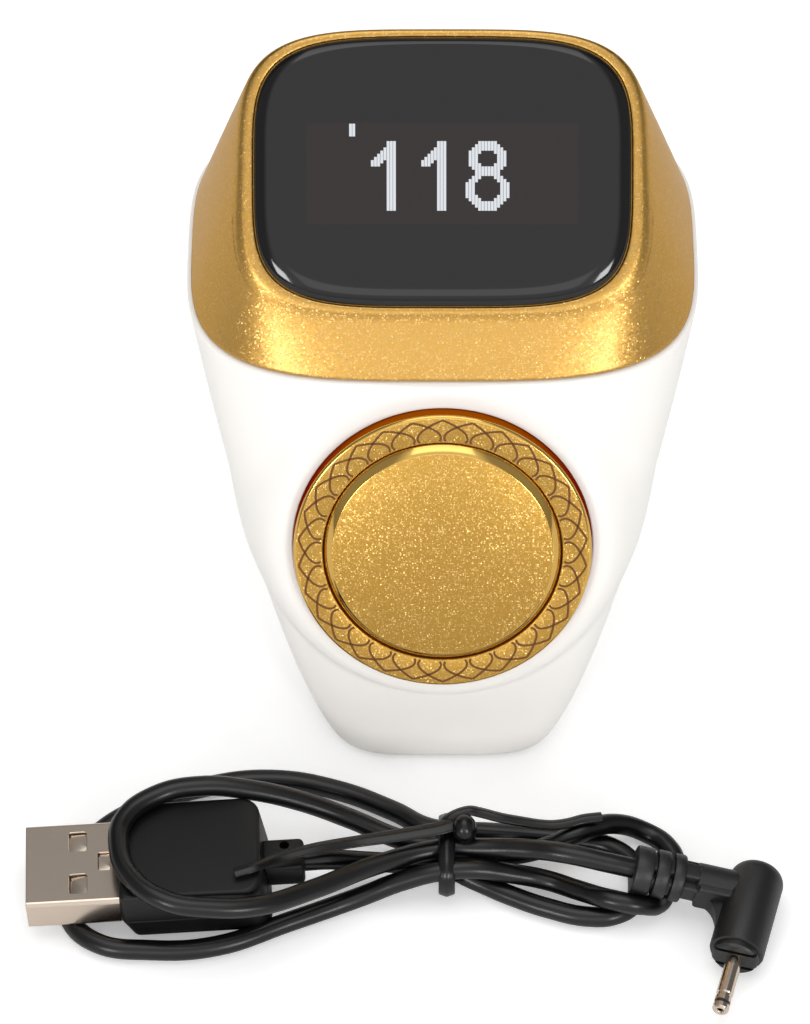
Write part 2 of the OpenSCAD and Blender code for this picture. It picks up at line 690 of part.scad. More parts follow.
// Route of the lead's middle, from the USB plug to the round plug: two loops each side of
// the tie. The points are chosen by hand and the plugs are placed at its two ends.
lead_route = [[-16.55, -39.5, 5.55], [-13.85, -39.36, 5.62], [-8.98, -38.23, 3.67],
    [-4.5, -37.86, 2.69], [0, -37.88, 2.17], [4, -39.46, 1.45], [8, -41.45, 1.27],
    [12.8, -43.46, 1.28], [17.5, -44.66, 1.28], [20.79, -44.38, 1.32],
    [22.95, -42.63, 1.24], [23.59, -40.1, 1.34], [23, -36.87, 1.29], [20.6, -34.45, 1.27],
    [17, -33.35, 1.27], [12, -32.65, 1.27], [6, -32.64, 1.95], [-1.5, -32.14, 2.2],
    [-6, -29.04, 1.55], [-13, -25.65, 1.27], [-21, -24.05, 1.27], [-29, -25.15, 1.27],
    [-36.99, -28.45, 1.27], [-42.49, -33.05, 1.27], [-45.29, -38.85, 1.27],
    [-44.79, -44.75, 1.27], [-41.59, -48.35, 1.28], [-34.99, -49.55, 1.28],
    [-27, -49, 1.35], [-18.5, -45.46, 1.29], [-10, -42.09, 1.72], [-4.8, -41.03, 3.58],
    [0, -40.5, 4.87], [4, -40.1, 4.72], [7.99, -39.81, 3.47], [12.49, -39.95, 2.24],
    [16.49, -41.93, 2.79], [20.2, -44.24, 4.16], [23.97, -44.47, 3.41],
    [26.19, -42.51, 1.3], [27.19, -40.09, 1.27], [28.19, -36.89, 1.27],
    [27.39, -34.51, 1.35], [24.99, -32.35, 1.4], [20.59, -32.31, 3.29],
    [16.59, -34.6, 4.57], [12.79, -35.75, 3.4], [8.5, -35.82, 1.87], [4, -35.43, 1.97],
    [0, -35.15, 2.41], [-5, -34.21, 2.68], [-10.99, -32.61, 4.62], [-16.98, -31.88, 7.23],
    [-23.25, -31.74, 9.38], [-29.21, -32.04, 10.51], [-34.59, -33.5, 10.46],
    [-38.09, -36.79, 10.32], [-38.59, -40.76, 10.3], [-36.99, -45.31, 10.38],
    [-32.8, -48.81, 10.4], [-27.85, -49.35, 9.7], [-21.87, -48.31, 8.58],
    [-15.49, -44.77, 6.97], [-8, -40.27, 5.73], [0, -37.31, 5.04], [5, -37.57, 5.49],
    [10, -38.54, 6.65], [14.8, -40.02, 7.72], [19.89, -40.97, 7.13], [22.8, -41.3, 6.5]];
lead_sides = 8;
usb_yaw = 3;
usb_tilt = -1.5;
dc_yaw = -6.5;
dc_roll = 12.1;
route_end = len(lead_route) - 1;

// Least gap of the lead to itself, between places more than a few diameters apart
gap_steps = 4;
function route_at(t) =
    let(i = min(floor(t), route_end - 1)) mix(lead_route[i], lead_route[i + 1], t - i);
gap_points = [for (i = [0:route_end * gap_steps]) route_at(i / gap_steps)];
lead_gap = min([for (i = [0:len(gap_points) - 1], j = [i + 3 * gap_steps:len(gap_points) - 1])
    norm(gap_points[i] - gap_points[j])]) - lead_dia;
lead_length = [for (i = 0, s = 0; i <= route_end; s = s + (i < route_end ?
    norm(lead_route[i + 1] - lead_route[i]) : 0), i = i + 1) s][route_end];
echo(lead_length = lead_length, lead_gap = lead_gap);

module lead_cord() {
    color("black") sweep(lead_route, lead_dia, lead_dia, lead_sides);
}

// USB plug: origin where the cable leaves it, X towards the cable
usb_relief_size = [5.2, 4.6, 3.5];
usb_relief_hole_r = 0.6;
usb_shell_size = [11.2, 12, 4.5];
usb_shell_wall = 0.3;
usb_window = [2.1, 2.8];
usb_window_x = 5.2;
usb_window_y = 3.1;
usb_slot = [1.4, 2.6];
usb_slot_x = 1.8;
usb_tongue_t = 1.7;
usb_tongue_short = 0.8;
usb_contact = [7.5, 1, 0.2];
usb_contact_shares = [-0.29, -0.083, 0.083, 0.29];
usb_corner_r = 2.4;
usb_grip_end = -usb_relief_size[0] - usb_grip_l;
module at_usb() {
    translate(lead_route[0]) rotate([0, 0, usb_yaw]) rotate([0, usb_tilt, 0]) children();
}
module usb_grip() {
    r = usb_corner_r;
    x1 = -usb_relief_size[0];
    arcs = [for (a = [0:15:90]) [x1 - r + r * cos(a), usb_grip_w / 2 - r + r * sin(a)]];
    under = [for (i = [len(arcs) - 1:-1:0]) [arcs[i][0], -arcs[i][1]]];
    half = usb_grip_w / 2;
    color("black") at_usb() translate([0, 0, -usb_grip_t / 2]) linear_extrude(usb_grip_t)
        polygon(concat(arcs, [[usb_grip_end + r / 3, half], [usb_grip_end, half - r / 3],
            [usb_grip_end, r / 3 - half], [usb_grip_end + r / 3, -half]], under));
}
module usb_relief() {
    s = usb_relief_size;
    color("black") at_usb() difference() {
        translate([-s[0], -s[1] / 2, -s[2] / 2]) cube(s);
        translate([-s[0] / 2, s[1] / 2 - usb_relief_hole_r, 0])
            cylinder(r = usb_relief_hole_r, h = s[2], $fn = 32);
    }
}
module usb_shell() {
    s = usb_shell_size;
    w = usb_shell_wall;
    color("silver") at_usb() translate([usb_grip_end - s[0], 0, 0]) difference() {
        translate([0, -s[1] / 2, -s[2] / 2]) cube(s);
        translate([-over, -s[1] / 2 + w, -s[2] / 2 + w])
            cube([s[0] + 2 * over, s[1] - 2 * w, s[2] - 2 * w]);
        for (y = [-1, 1]) translate([usb_window_x, y * usb_window_y - usb_window[1] / 2,
            -s[2]]) cube([usb_window[0], usb_window[1], 2 * s[2]]);
        translate([s[0] - usb_slot_x - usb_slot[0] / 2, -usb_slot[1] / 2, 0])
            cube([usb_slot[0], usb_slot[1], s[2]]);
    }
}
module usb_tongue() {
    s = usb_shell_size;
    w = usb_shell_wall + fit / 2;
    color("white") at_usb() translate([usb_grip_end - s[0] + usb_tongue_short,
        -s[1] / 2 + w, -s[2] / 2 + w]) cube([s[0] - usb_tongue_short, s[1] - 2 * w,
        usb_tongue_t]);
}
module usb_contacts() {
    s = usb_shell_size;
    top = -s[2] / 2 + usb_shell_wall + fit / 2 + usb_tongue_t;
    color("gold") at_usb() for (y = usb_contact_shares)
        translate([usb_grip_end - s[0] + 2 * usb_tongue_short,
            y * s[1] - usb_contact[1] / 2, top])
            cube(usb_contact);
}

// Round right-angled plug: origin where the cable enters it, X towards its elbow
rib_r = 2.9;
// Where each rib starts, and its width
ribs = [[0, 2.2], [2.5, 1.7], [4.6, 1.5]];
relief_core_r = 2;
relief_l = 8;
elbow_x = 14.8;
neck_w = 4.8;
barrel_yaw = -15.2;
elbow_back = 3.6;
elbow_front = 8.9;
elbow_edge = 1;
collar_r = 2.85;
collar_l = 0.9;
barrel_bore_r = 0.35;
tip_l = 1.2;
module at_dc() {
    translate(lead_route[route_end]) rotate([0, 0, dc_yaw]) rotate([0, dc_roll, 0])
        children();
}
// The barrel lies level, at its own angle
elbow_spot = lead_route[route_end]
    + elbow_x * [cos(dc_yaw) * cos(dc_roll), sin(dc_yaw) * cos(dc_roll), -sin(dc_roll)];
module at_barrel() {
    translate(elbow_spot) rotate([0, 0, barrel_yaw]) rotate([90, 0, 0]) children();
}
module dc_relief() {
    color("black") at_dc() rotate([0, 90, 0]) {
        cylinder(r = relief_core_r, h = relief_l, $fn = 48);
        for (rib = ribs) translate([0, 0, rib[0]]) cylinder(r = rib_r, h = rib[1], $fn = 48);
    }
}
module dc_body() {
    r = dc_body_dia / 2;
    e = elbow_edge;
    color("black") union() {
        at_dc() translate([relief_l, -neck_w / 2, -neck_w / 2])
            cube([elbow_x - relief_l, neck_w, neck_w]);
        at_barrel() rotate_extrude($fn = 64) polygon([[0, -elbow_back], [r - e, -elbow_back],
            [r, e - elbow_back], [r, elbow_front], [0, elbow_front]]);
    }
}
module dc_collar() {
    color("black") at_barrel() translate([0, 0, elbow_front]) difference() {
        cylinder(r = collar_r, h = collar_l, $fn = 64);
        cylinder(r = barrel_bore_r, h = collar_l + over, $fn = 32);
    }
}
module barrel_piece(z, l) {
    at_barrel() translate([0, 0, z]) difference() {
        cylinder(d = dc_barrel_dia, h = l, $fn = 48);
        translate([0, 0, -over]) cylinder(r = barrel_bore_r, h = l + 2 * over, $fn = 32);
    }
}
module dc_barrel() {
    color("silver") barrel_piece(elbow_front + collar_l, dc_barrel_l);
}
module dc_tip() {
    color("dimgray") barrel_piece(elbow_front + collar_l + dc_barrel_l, tip_l);
}

// Twist tie: a band round the bundle, a twisted knot on top and two flat tails
tie_y = -36.3;
tie_z = 3.5;
tie_half = [5.5, 2.95];
tie_t = 0.5;
tie_w = 1.8;
tie_r = 1.6;
tie_tail_w = 1.5;
tie_tail_t = 0.9;
knot_r = 1.3;
left_tail = [[3.3, -35.4, 7.3], [1.6, -35.7, 7.9], [-0.8, -36.6, 8], [-5.9, -37.5, 7.8],
    [-9.9, -38.3, 7.9], [-15.1, -39.6, 8.3], [-19.6, -41.2, 8.5], [-22.31, -43.83, 10.22],
    [-24.69, -44.66, 10.14]];
right_tail = [[0.9, -34.9, 8], [3, -34.1, 8.3], [4.5, -34.1, 8], [6.9, -34.5, 7.5],
    [9.3, -34.6, 6.9], [11.7, -34.7, 6.4], [13.5, -34.65, 6.2], [15.3, -34.4, 6.3],
    [17.1, -33.9, 6.4], [19.2, -33.6, 6.4]];
function rounded(h, r) = [for (c = [[1, 1], [-1, 1], [-1, -1], [1, -1]], a = [0:30:90])
    let(b = a + (c[0] * c[1] > 0 ? 0 : 90) + (c[1] < 0 ? 180 : 0))
    [c[0] * (h[0] - r) + r * cos(b), c[1] * (h[1] - r) + r * sin(b)]];
module twist_tie() {
    top = tie_z + tie_half[1] + tie_t;
    color("black") union() {
        translate([-tie_w / 2, tie_y, tie_z]) rotate([90, 0, 90]) linear_extrude(tie_w)
            difference() {
                polygon(rounded(tie_half + [tie_t, tie_t], tie_r + tie_t));
                polygon(rounded(tie_half, tie_r));
            }
        translate([0, tie_y, top - tie_t / 2]) cylinder(r = knot_r, h = knot_r, $fn = 32);
        translate([0, tie_y + knot_r / 2, top + knot_r / 2]) rotate([0, 90, 0])
            cylinder(r = knot_r, h = 3 * knot_r, $fn = 32);
        sweep(left_tail, tie_tail_w, tie_tail_t, lead_sides);
        sweep(right_tail, tie_tail_w, tie_tail_t, lead_sides);
    }
}

white_body();
base_cover();
foot_pad();
base_screws();
inner_frame();
bezel_cap();
display_glass();
glass_gasket();
oled_panel();
oled_board();
oled_frame();
frame_screws();
oled_flex();
button_ring();
ring_clip();
count_button();
return_pad();
switch_plunger();
tact_switch();
switch_board();
switch_carrier();
button_wires();
main_board();
board_chips();
board_screws();
battery();
battery_wires();
socket_board();
charge_socket();
socket_pin();
socket_wires();
usb_shell();
usb_tongue();
usb_contacts();
usb_grip();
usb_relief();
lead_cord();
twist_tie();
dc_relief();
dc_body();
dc_collar();
dc_barrel();
dc_tip();
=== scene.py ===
import json
from math import copysign, cos, exp, hypot, pi, radians, sin, tan, tau

import bmesh
import bpy
from mathutils import Matrix, Vector


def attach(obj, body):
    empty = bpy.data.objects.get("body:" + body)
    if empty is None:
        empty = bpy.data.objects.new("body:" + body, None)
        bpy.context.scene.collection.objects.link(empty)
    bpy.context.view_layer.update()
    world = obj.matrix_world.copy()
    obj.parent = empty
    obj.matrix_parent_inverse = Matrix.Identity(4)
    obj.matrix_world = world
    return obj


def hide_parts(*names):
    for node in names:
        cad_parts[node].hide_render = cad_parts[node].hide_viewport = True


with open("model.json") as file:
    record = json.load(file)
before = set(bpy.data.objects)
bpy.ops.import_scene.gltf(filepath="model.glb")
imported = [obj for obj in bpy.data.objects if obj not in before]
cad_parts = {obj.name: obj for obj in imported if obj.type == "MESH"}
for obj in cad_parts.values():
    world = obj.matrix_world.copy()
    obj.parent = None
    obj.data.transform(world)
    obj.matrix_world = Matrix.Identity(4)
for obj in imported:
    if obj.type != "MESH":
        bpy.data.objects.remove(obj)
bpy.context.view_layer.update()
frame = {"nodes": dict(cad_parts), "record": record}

mm = 0.001
toMetres = Matrix.Scale(mm, 4)
weld = 1e-5  # points closer than this are one, in millimetres
scene = bpy.context.scene
scene.view_settings.view_transform = "Standard"

# camera at the photograph's angle; pixels are those of the 810 x 1024 photograph
photoView = {
    "width": 810, "height": 1024, "middlePixel": 442.6, "middleRow": 514.7, "focalPixels": 4860,
    "pitch": 49.7, "place": (0, -385.01, 477.16), "sensor": 36, "clip": (0.05, 20),
}


def addObject(name, data):
    made = bpy.data.objects.new(name, data)
    scene.collection.objects.link(made)
    return made


def addCamera(view):
    data = bpy.data.cameras.new("photoCamera")
    camera = addObject("photoCamera", data)
    camera.location = Vector(view["place"]) * mm
    camera.rotation_euler = (radians(90 - view["pitch"]), 0, 0)
    data.sensor_width = view["sensor"]
    data.lens = view["focalPixels"] / view["height"] * view["sensor"]
    data.shift_x = (view["width"] / 2 - view["middlePixel"]) / view["height"]
    data.shift_y = (view["middleRow"] - view["height"] / 2) / view["height"]
    data.clip_start, data.clip_end = view["clip"]
    scene.camera = camera


def fromHex(code):
    # sRGB to linear
    parts = [int(code[i:i + 2], 16) / 255 for i in (1, 3, 5)]
    return tuple(p / 12.92 if p <= 0.04045 else ((p + 0.055) / 1.055) ** 2.4 for p in parts) + (1,)


def addNode(tree, kind, settings=None, links=None):
    # a node given as a link's source stands for its first output
    node = tree.nodes.new("ShaderNode" + kind)
    for key, value in (settings or {}).items():
        if isinstance(key, int) or key in node.inputs:
            node.inputs[key].default_value = value
        else:
            setattr(node, key, value)
    for key, source in (links or {}).items():
        if isinstance(source, bpy.types.Node):
            source = source.outputs[0]
        tree.links.new(source, node.inputs[key])
    return node


def startMaterial(name, colour, **finish):
    # one principled shader with its constants on its own sockets
    material = bpy.data.materials.new(name)
    material.use_nodes = True
    shader = material.node_tree.nodes["Principled BSDF"]
    shader.inputs["Base Color"].default_value = fromHex(colour)
    for key, value in finish.items():
        shader.inputs[key.replace("_", " ")].default_value = value
    material.diffuse_color = fromHex(colour)
    return material, material.node_tree, shader


def objectPlace(tree, cell):
    # object coordinates, counted in cells of that many millimetres
    place = addNode(tree, "TexCoord")
    return addNode(tree, "Mapping", {"Scale": (1 / (cell * mm),) * 3},
            {"Vector": place.outputs["Object"]})


def finishShader(tree, shader, normal, tone):
    tree.links.new(normal.outputs[0], shader.inputs["Normal"])
    tree.links.new(tone.outputs[2], shader.inputs["Base Color"])


def moulded(name, colour, grain, depth, shade=0.12, **finish):
    # moulded or cast surface: fine grain in the bump, a slow drift in the colour
    driftCell = 9  # millimetres
    material, tree, shader = startMaterial(name, colour, **finish)
    fine = addNode(tree, "TexNoise", {"Scale": 1, "Detail": 2},
            {"Vector": objectPlace(tree, grain)})
    bump = addNode(tree, "Bump", {"Strength": 1, "Distance": depth * mm}, {"Height": fine})
    slow = addNode(tree, "TexNoise", {"Scale": 1, "Detail": 3},
            {"Vector": objectPlace(tree, driftCell)})
    light = addNode(tree, "MapRange", {"To Min": 1 - shade, "To Max": 1 + shade / 3},
            {"Value": slow})
    tone = addNode(tree, "Mix", {"data_type": "RGBA", "blend_type": "MULTIPLY", 0: 1,
            6: fromHex(colour)}, {7: light})
    finishShader(tree, shader, bump, tone)
    return material


# a flake's spot fades from its heart to its rim, in cells; flakes under the plain share don't
# show, and between the spots the paint keeps the ground share of the tilt
flakeShape = {"heart": 0.25, "rim": 0.6, "plain": 0.4, "ground": 0.15, "shine": "#FFE7AE"}


def flaked(name, colour, flake, tilt, sparkle, **finish):
    # metallic paint: here and there a flake leans its own way and shines lighter
    s = flakeShape
    material, tree, shader = startMaterial(name, colour, **finish)
    cells = addNode(tree, "TexVoronoi", {"Scale": 1, "feature": "F1"},
            {"Vector": objectPlace(tree, flake)})
    pick = addNode(tree, "SeparateColor", {}, {"Color": cells.outputs["Color"]})
    near = addNode(tree, "MapRange", {"From Min": s["rim"], "From Max": s["heart"]},
            {"Value": cells.outputs["Distance"]})
    chosen = addNode(tree, "MapRange", {"From Min": s["plain"], "From Max": 1},
            {"Value": pick.outputs["Blue"]})
    spot = addNode(tree, "Math", {"operation": "MULTIPLY"}, {0: near, 1: chosen})
    lean = addNode(tree, "VectorMath", {"operation": "SUBTRACT", 1: (0.5, 0.5, 0.5)},
            {0: cells.outputs["Color"]})
    reach = addNode(tree, "Math", {"operation": "MULTIPLY_ADD", 1: tilt, 2: tilt * s["ground"]},
            {0: spot})
    amount = addNode(tree, "VectorMath", {"operation": "SCALE"}, {0: lean, "Scale": reach})
    surface = addNode(tree, "NewGeometry")
    mixed = addNode(tree, "VectorMath", {"operation": "ADD"},
            {0: surface.outputs["Normal"], 1: amount})
    even = addNode(tree, "VectorMath", {"operation": "NORMALIZE"}, {0: mixed})
    share = addNode(tree, "Math", {"operation": "MULTIPLY", 1: sparkle}, {0: spot})
    tone = addNode(tree, "Mix", {"data_type": "RGBA", 6: fromHex(colour),
            7: fromHex(s["shine"])}, {0: share})
    finishShader(tree, shader, even, tone)
    return material


# satin ABS, slightly warm white: the moulding grain only softens its highlights
whiteAbs = moulded("whiteAbs", "#F6F3EE", 0.5, 0.0006, shade=0.02, Roughness=0.34)
# gold metallic paint on the cap: its flakes are drawn 0.2 mm wide, so that they show
capGold = flaked("capGoldPaint", "#C09448", 0.22, 0.5, 0.4, Metallic=1, Roughness=0.36,
        Specular_Tint=fromHex("#F2DAAE"), Coat_Weight=0.3, Coat_Roughness=0.25)
# blasted and gilded ring and button: the same glitter, a little finer and without a clear coat
ringGold = flaked("ringGoldBlasted", "#BA9043", 0.2, 0.5, 0.4, Metallic=1, Roughness=0.36)
# turned edges, polished before gilding: nearly smooth, and lighter than the blasted gold as a
# painted highlight along the edges
polishedGoldAndHighlight = flaked("polishedGoldAndHighlight", "#D9B05E", 0.9, 0.015, 0.05, Metallic=1, Roughness=0.1)
# ring's side wall: the gold is painted dark amber brown here, as painted shade on the narrow wall
sideWallPaintedShade = moulded("sideWallPaintedShade", "#A0581E", 0.4, 0.0008, Metallic=1, Roughness=0.25,
        Specular_Tint=fromHex("#A87840"))
# printed tracery, matt dark brown; the bore's wall gets the same colour, as painted shade in the
# gap round the button
tracerInkAndGapShade = moulded("tracerInkAndGapShade", "#6E420E", 0.2, 0.0005, Roughness=0.75)
# tinted display window, polished: nearly black, so it mostly shows reflections; the
# display's own area in it is a little browner
blackGlass = moulded("tintedGlass", "#070607", 4, 0.00002, shade=0.03, Roughness=0.09)
displayTint = moulded("displayTint", "#180D0E", 4, 0.00002, shade=0.03, Roughness=0.06)
# display dots: bluish white, glowing evenly
displayDots = startMaterial("displayDots", "#101010", Roughness=0.6,
        Emission_Color=fromHex("#E8ECF2"), Emission_Strength=0.88)[0]
# PVC mouldings: spark-eroded, lightly on the USB plug, deeply on the round plug; the cable's
# extruded sleeve and the tie are smoother
blackPvc = moulded("blackPvcMoulded", "#09090A", 0.3, 0.008, Roughness=0.42,
        Specular_IOR_Level=0.35)
grainPvc = moulded("blackPvcGrained", "#0B0B0C", 0.3, 0.03, Roughness=0.45, Specular_IOR_Level=0.6)
cablePvc = moulded("blackPvcSleeve", "#080809", 0.5, 0.0012, Roughness=0.3,
        Specular_IOR_Level=0.44)
tiePvc = moulded("blackPvcTie", "#080809", 0.5, 0.002, Roughness=0.27, Specular_IOR_Level=0.4)
# nickel plated steel, faintly brown and dulled by handling
nickel = moulded("nickelPlate", "#D8C8B8", 0.6, 0.0008, shade=0.06, Metallic=1, Roughness=0.2)
darkRing = moulded("insulatorRing", "#2A2320", 0.4, 0.001, Roughness=0.4)

slotMaterials = {
    "white_shell": whiteAbs,
    "gold_cap": capGold,
    "gold_ring": ringGold,
    "gold_button": ringGold,
    "black_glass": blackGlass,
    "plug_nickel": nickel,
    "plug_pvc": blackPvc,
    "lead_pvc": cablePvc,
    "tie_pvc": tiePvc,
}
# pieces below and inside: slot, name, colour, grain, its depth, metallic, roughness
for slot, *look, metal, rough in (
        ("foot_rubber", "footRubber", "#2B2B2B", 0.3, 0.02, 0, 0.8),
        ("gasket_foam", "gasketFoam", "#141414", 0.4, 0.03, 0, 0.9),
        ("screw_steel", "screwZinc", "#B9BBBE", 0.3, 0.001, 1, 0.3),
        ("frame_plastic", "frameAbs", "#C9C9C4", 0.4, 0.004, 0, 0.55),
        ("panel_glass", "panelGlass", "#15161A", 3, 0.0001, 0, 0.08),
        ("circuit_board", "solderMask", "#1B5A36", 0.7, 0.004, 0, 0.38),
        ("flex_film", "amberFilm", "#B9772B", 1.2, 0.004, 0, 0.25),
        ("clip_steel", "clipSteel", "#A7A7A7", 0.4, 0.001, 1, 0.35),
        ("return_foam", "siliconeRing", "#DADADA", 0.5, 0.006, 0, 0.6),
        ("switch_black", "switchNylon", "#1A1A1A", 0.3, 0.004, 0, 0.5),
        ("wire_sleeve", "wireSleeve", "#9C2018", 0.5, 0.002, 0, 0.4),
        ("chip_epoxy", "chipEpoxy", "#1D1D1F", 0.25, 0.004, 0, 0.6),
        ("battery_foil", "batteryFoil", "#C4C6C9", 1.5, 0.02, 1, 0.4),
        ("contact_gold", "contactGold", "#D9B564", 0.5, 0.001, 1, 0.2),
        ("plug_white", "tonguePlastic", "#E6E4DE", 0.4, 0.002, 0, 0.45)):
    slotMaterials[slot] = moulded(*look, Metallic=metal, Roughness=rough)
for part in frame["record"]["subparts"]:
    for cadSlot in frame["nodes"][part["node"]].material_slots:
        cadSlot.material = slotMaterials[part["material_slot"]]
print("materials made and put on the packed pieces")


def addPiece(name, data, slot, stands=None, body="counter"):
    piece = addObject(name, data)
    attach(piece, body)
    if stands:
        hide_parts(stands)
    return piece


def toMesh(bm, name):
    mesh = bpy.data.meshes.new(name)
    bm.to_mesh(mesh)
    bm.free()
    return mesh


def moved(bm, place):
    bmesh.ops.transform(bm, matrix=place, verts=bm.verts)
    return bm


def shifted(*way):
    return Matrix.Translation(way)


def turned(degrees, axis):
    return Matrix.Rotation(radians(degrees), 4, axis)


def finishMesh(bm, name, materials, place=Matrix(), sharp=38, **where):
    # from a bmesh in millimetres to a piece in metres
    moved(moved(bm, place), toMetres)
    bmesh.ops.recalc_face_normals(bm, faces=bm.faces)
    mesh = toMesh(bm, name)
    for material in materials:
        mesh.materials.append(material)
    mesh.shade_smooth()
    mesh.set_sharp_from_angle(angle=radians(sharp))
    return addPiece(name, mesh, **where)


def applyModifiers(piece, sharp=38):
    graph = bpy.context.evaluated_depsgraph_get()
    mesh = bpy.data.meshes.new_from_object(piece.evaluated_get(graph), depsgraph=graph)
    old = piece.data
    piece.modifiers.clear()
    piece.data = mesh
    bpy.data.meshes.remove(old)
    mesh.set_sharp_from_angle(angle=radians(sharp))


def cutAway(piece, cutters, sharp=38):
    for cutter in cutters:
        cut = piece.modifiers.new("cut", "BOOLEAN")
        cut.operation = "DIFFERENCE"
        cut.solver = "EXACT"
        cut.object = cutter
    applyModifiers(piece, sharp)
    for cutter in cutters:
        bpy.data.objects.remove(cutter)


def makeCutter(bm, place):
    return addObject("cutter", toMesh(moved(moved(bm, place), toMetres), "cutter"))


def roundCutter(radius, low, high, place, steps=192):
    bm = bmesh.new()
    bmesh.ops.create_cone(bm, cap_ends=True, segments=steps, radius1=radius, radius2=radius,
            depth=high - low)
    return makeCutter(moved(bm, shifted(0, 0, (high + low) / 2)), place)


def boxCutter(size, centre, place, corner=0):
    return makeCutter(makeBlock(size, centre, corner), place)


def joinInto(bm, other):
    mesh = toMesh(other, "joined")
    bm.from_mesh(mesh)
    bpy.data.meshes.remove(mesh)


def mix(a, b, t):
    return a + (b - a) * t


def superRadius(angle, square):
    return (abs(cos(angle)) ** square + abs(sin(angle)) ** square) ** (-1 / square)


def quarterRound(steps):
    # a quarter circle: how far along it is, and how far it still has to go
    turns = [k / steps * pi / 2 for k in range(steps + 1)]
    return [(1 - cos(t), 1 - sin(t)) for t in turns]


def wholeTurn(steps, start=0):
    return [(k + start) * tau / steps for k in range(steps)]


def vertsOf(grown):
    return [g for g in grown if isinstance(g, bmesh.types.BMVert)]


def extrudeOn(bm, edges):
    # the new border: its points and its edges
    grown = bmesh.ops.extrude_edge_only(bm, edges=edges)["geom"]
    verts = vertsOf(grown)
    fresh = set(verts)
    return verts, [g for g in grown
            if isinstance(g, bmesh.types.BMEdge) and fresh.issuperset(g.verts)]


def growSkin(rows, closed=False):
    # one ring of points is extruded from row to row; every point keeps its number in a layer
    bm = bmesh.new()
    number = bm.verts.layers.int.new("number")
    bmesh.ops.create_circle(bm, cap_ends=False, segments=len(rows[0]), radius=1)
    ring = list(bm.verts)
    edges = list(bm.edges)
    for i, vert in enumerate(ring):
        vert[number] = i
    if not closed:
        bmesh.ops.contextual_create(bm, geom=edges)
    for k, row in enumerate(rows):
        if k:
            ring, edges = extrudeOn(bm, edges)
        for vert in ring:
            vert.co = row[vert[number]]
    if closed:
        bmesh.ops.remove_doubles(bm, verts=bm.verts, dist=weld)
    else:
        bmesh.ops.contextual_create(bm, geom=edges)
    return bm


def addSquare(bm, size, wide=1, high=1, place=(0, 0, 0)):
    verts = bmesh.ops.create_grid(bm, x_segments=1, y_segments=1, size=size / 2)["verts"]
    bmesh.ops.scale(bm, vec=(wide, high, 1), verts=verts)
    bmesh.ops.translate(bm, vec=place, verts=verts)
    return bm


def spinProfile(points, steps, closed=True):
    # points are (radius, height); the outline is spun round the z axis
    bm = bmesh.new()
    verts = [bm.verts.new((r, 0, z)) for r, z in points]
    following = verts[1:] + (verts[:1] if closed else [])
    edges = [bm.edges.new(pair) for pair in zip(verts, following)]
    bmesh.ops.spin(bm, geom=verts + edges, cent=(0, 0, 0), axis=(0, 0, 1),
            angle=tau, steps=steps, use_merge=True, use_duplicate=False)
    bmesh.ops.remove_doubles(bm, verts=bm.verts, dist=weld)
    return bm


def makeBlock(size, centre=(0, 0, 0), corner=0, rim=0, steps=4):
    # a block with rounded upright corners and rounded top and bottom rims
    rounded = {"offset_type": "OFFSET", "affect": "EDGES", "profile": 0.5, "material": -1}
    bm = bmesh.new()
    bmesh.ops.create_cube(bm, size=1)
    bmesh.ops.scale(bm, vec=size, verts=bm.verts)
    if corner:
        upright = [e for e in bm.edges if abs(e.verts[0].co.z - e.verts[1].co.z) > size[2] / 2]
        bmesh.ops.bevel(bm, geom=upright, offset=corner, segments=steps, **rounded)
    if rim:
        bm.normal_update()
        flat = {e for f in bm.faces if abs(f.normal.z) > 0.99 for e in f.edges}
        bmesh.ops.bevel(bm, geom=list(flat), offset=rim, segments=3, **rounded)
    return moved(bm, shifted(*centre))


def smoothPath(points, steps):
    # a smooth curve through all of the points
    spots = [Vector(p) for p in points]
    ends = [2 * spots[0] - spots[1]] + spots + [2 * spots[-1] - spots[-2]]
    path = []
    for i in range(1, len(ends) - 2):
        a, b, c, d = ends[i - 1:i + 3]
        for k in range(steps):
            t = k / steps
            path.append(0.5 * (2 * b + (c - a) * t + (2 * a - 5 * b + 4 * c - d) * t * t
                    + (3 * b - a - 3 * c + d) * t ** 3))
    path.append(spots[-1])
    return path


def heading(path, i):
    return (path[min(i + 1, len(path) - 1)] - path[max(i - 1, 0)]).normalized()


def sweepRows(path, section):
    rows = []
    for i, spot in enumerate(path):
        ahead = heading(path, i)
        across = ahead.cross(Vector((0, 0, 1))).normalized()
        up = across.cross(ahead).normalized()
        rows.append([spot + across * x + up * y for x, y in section])
    return rows


addCamera(photoView)

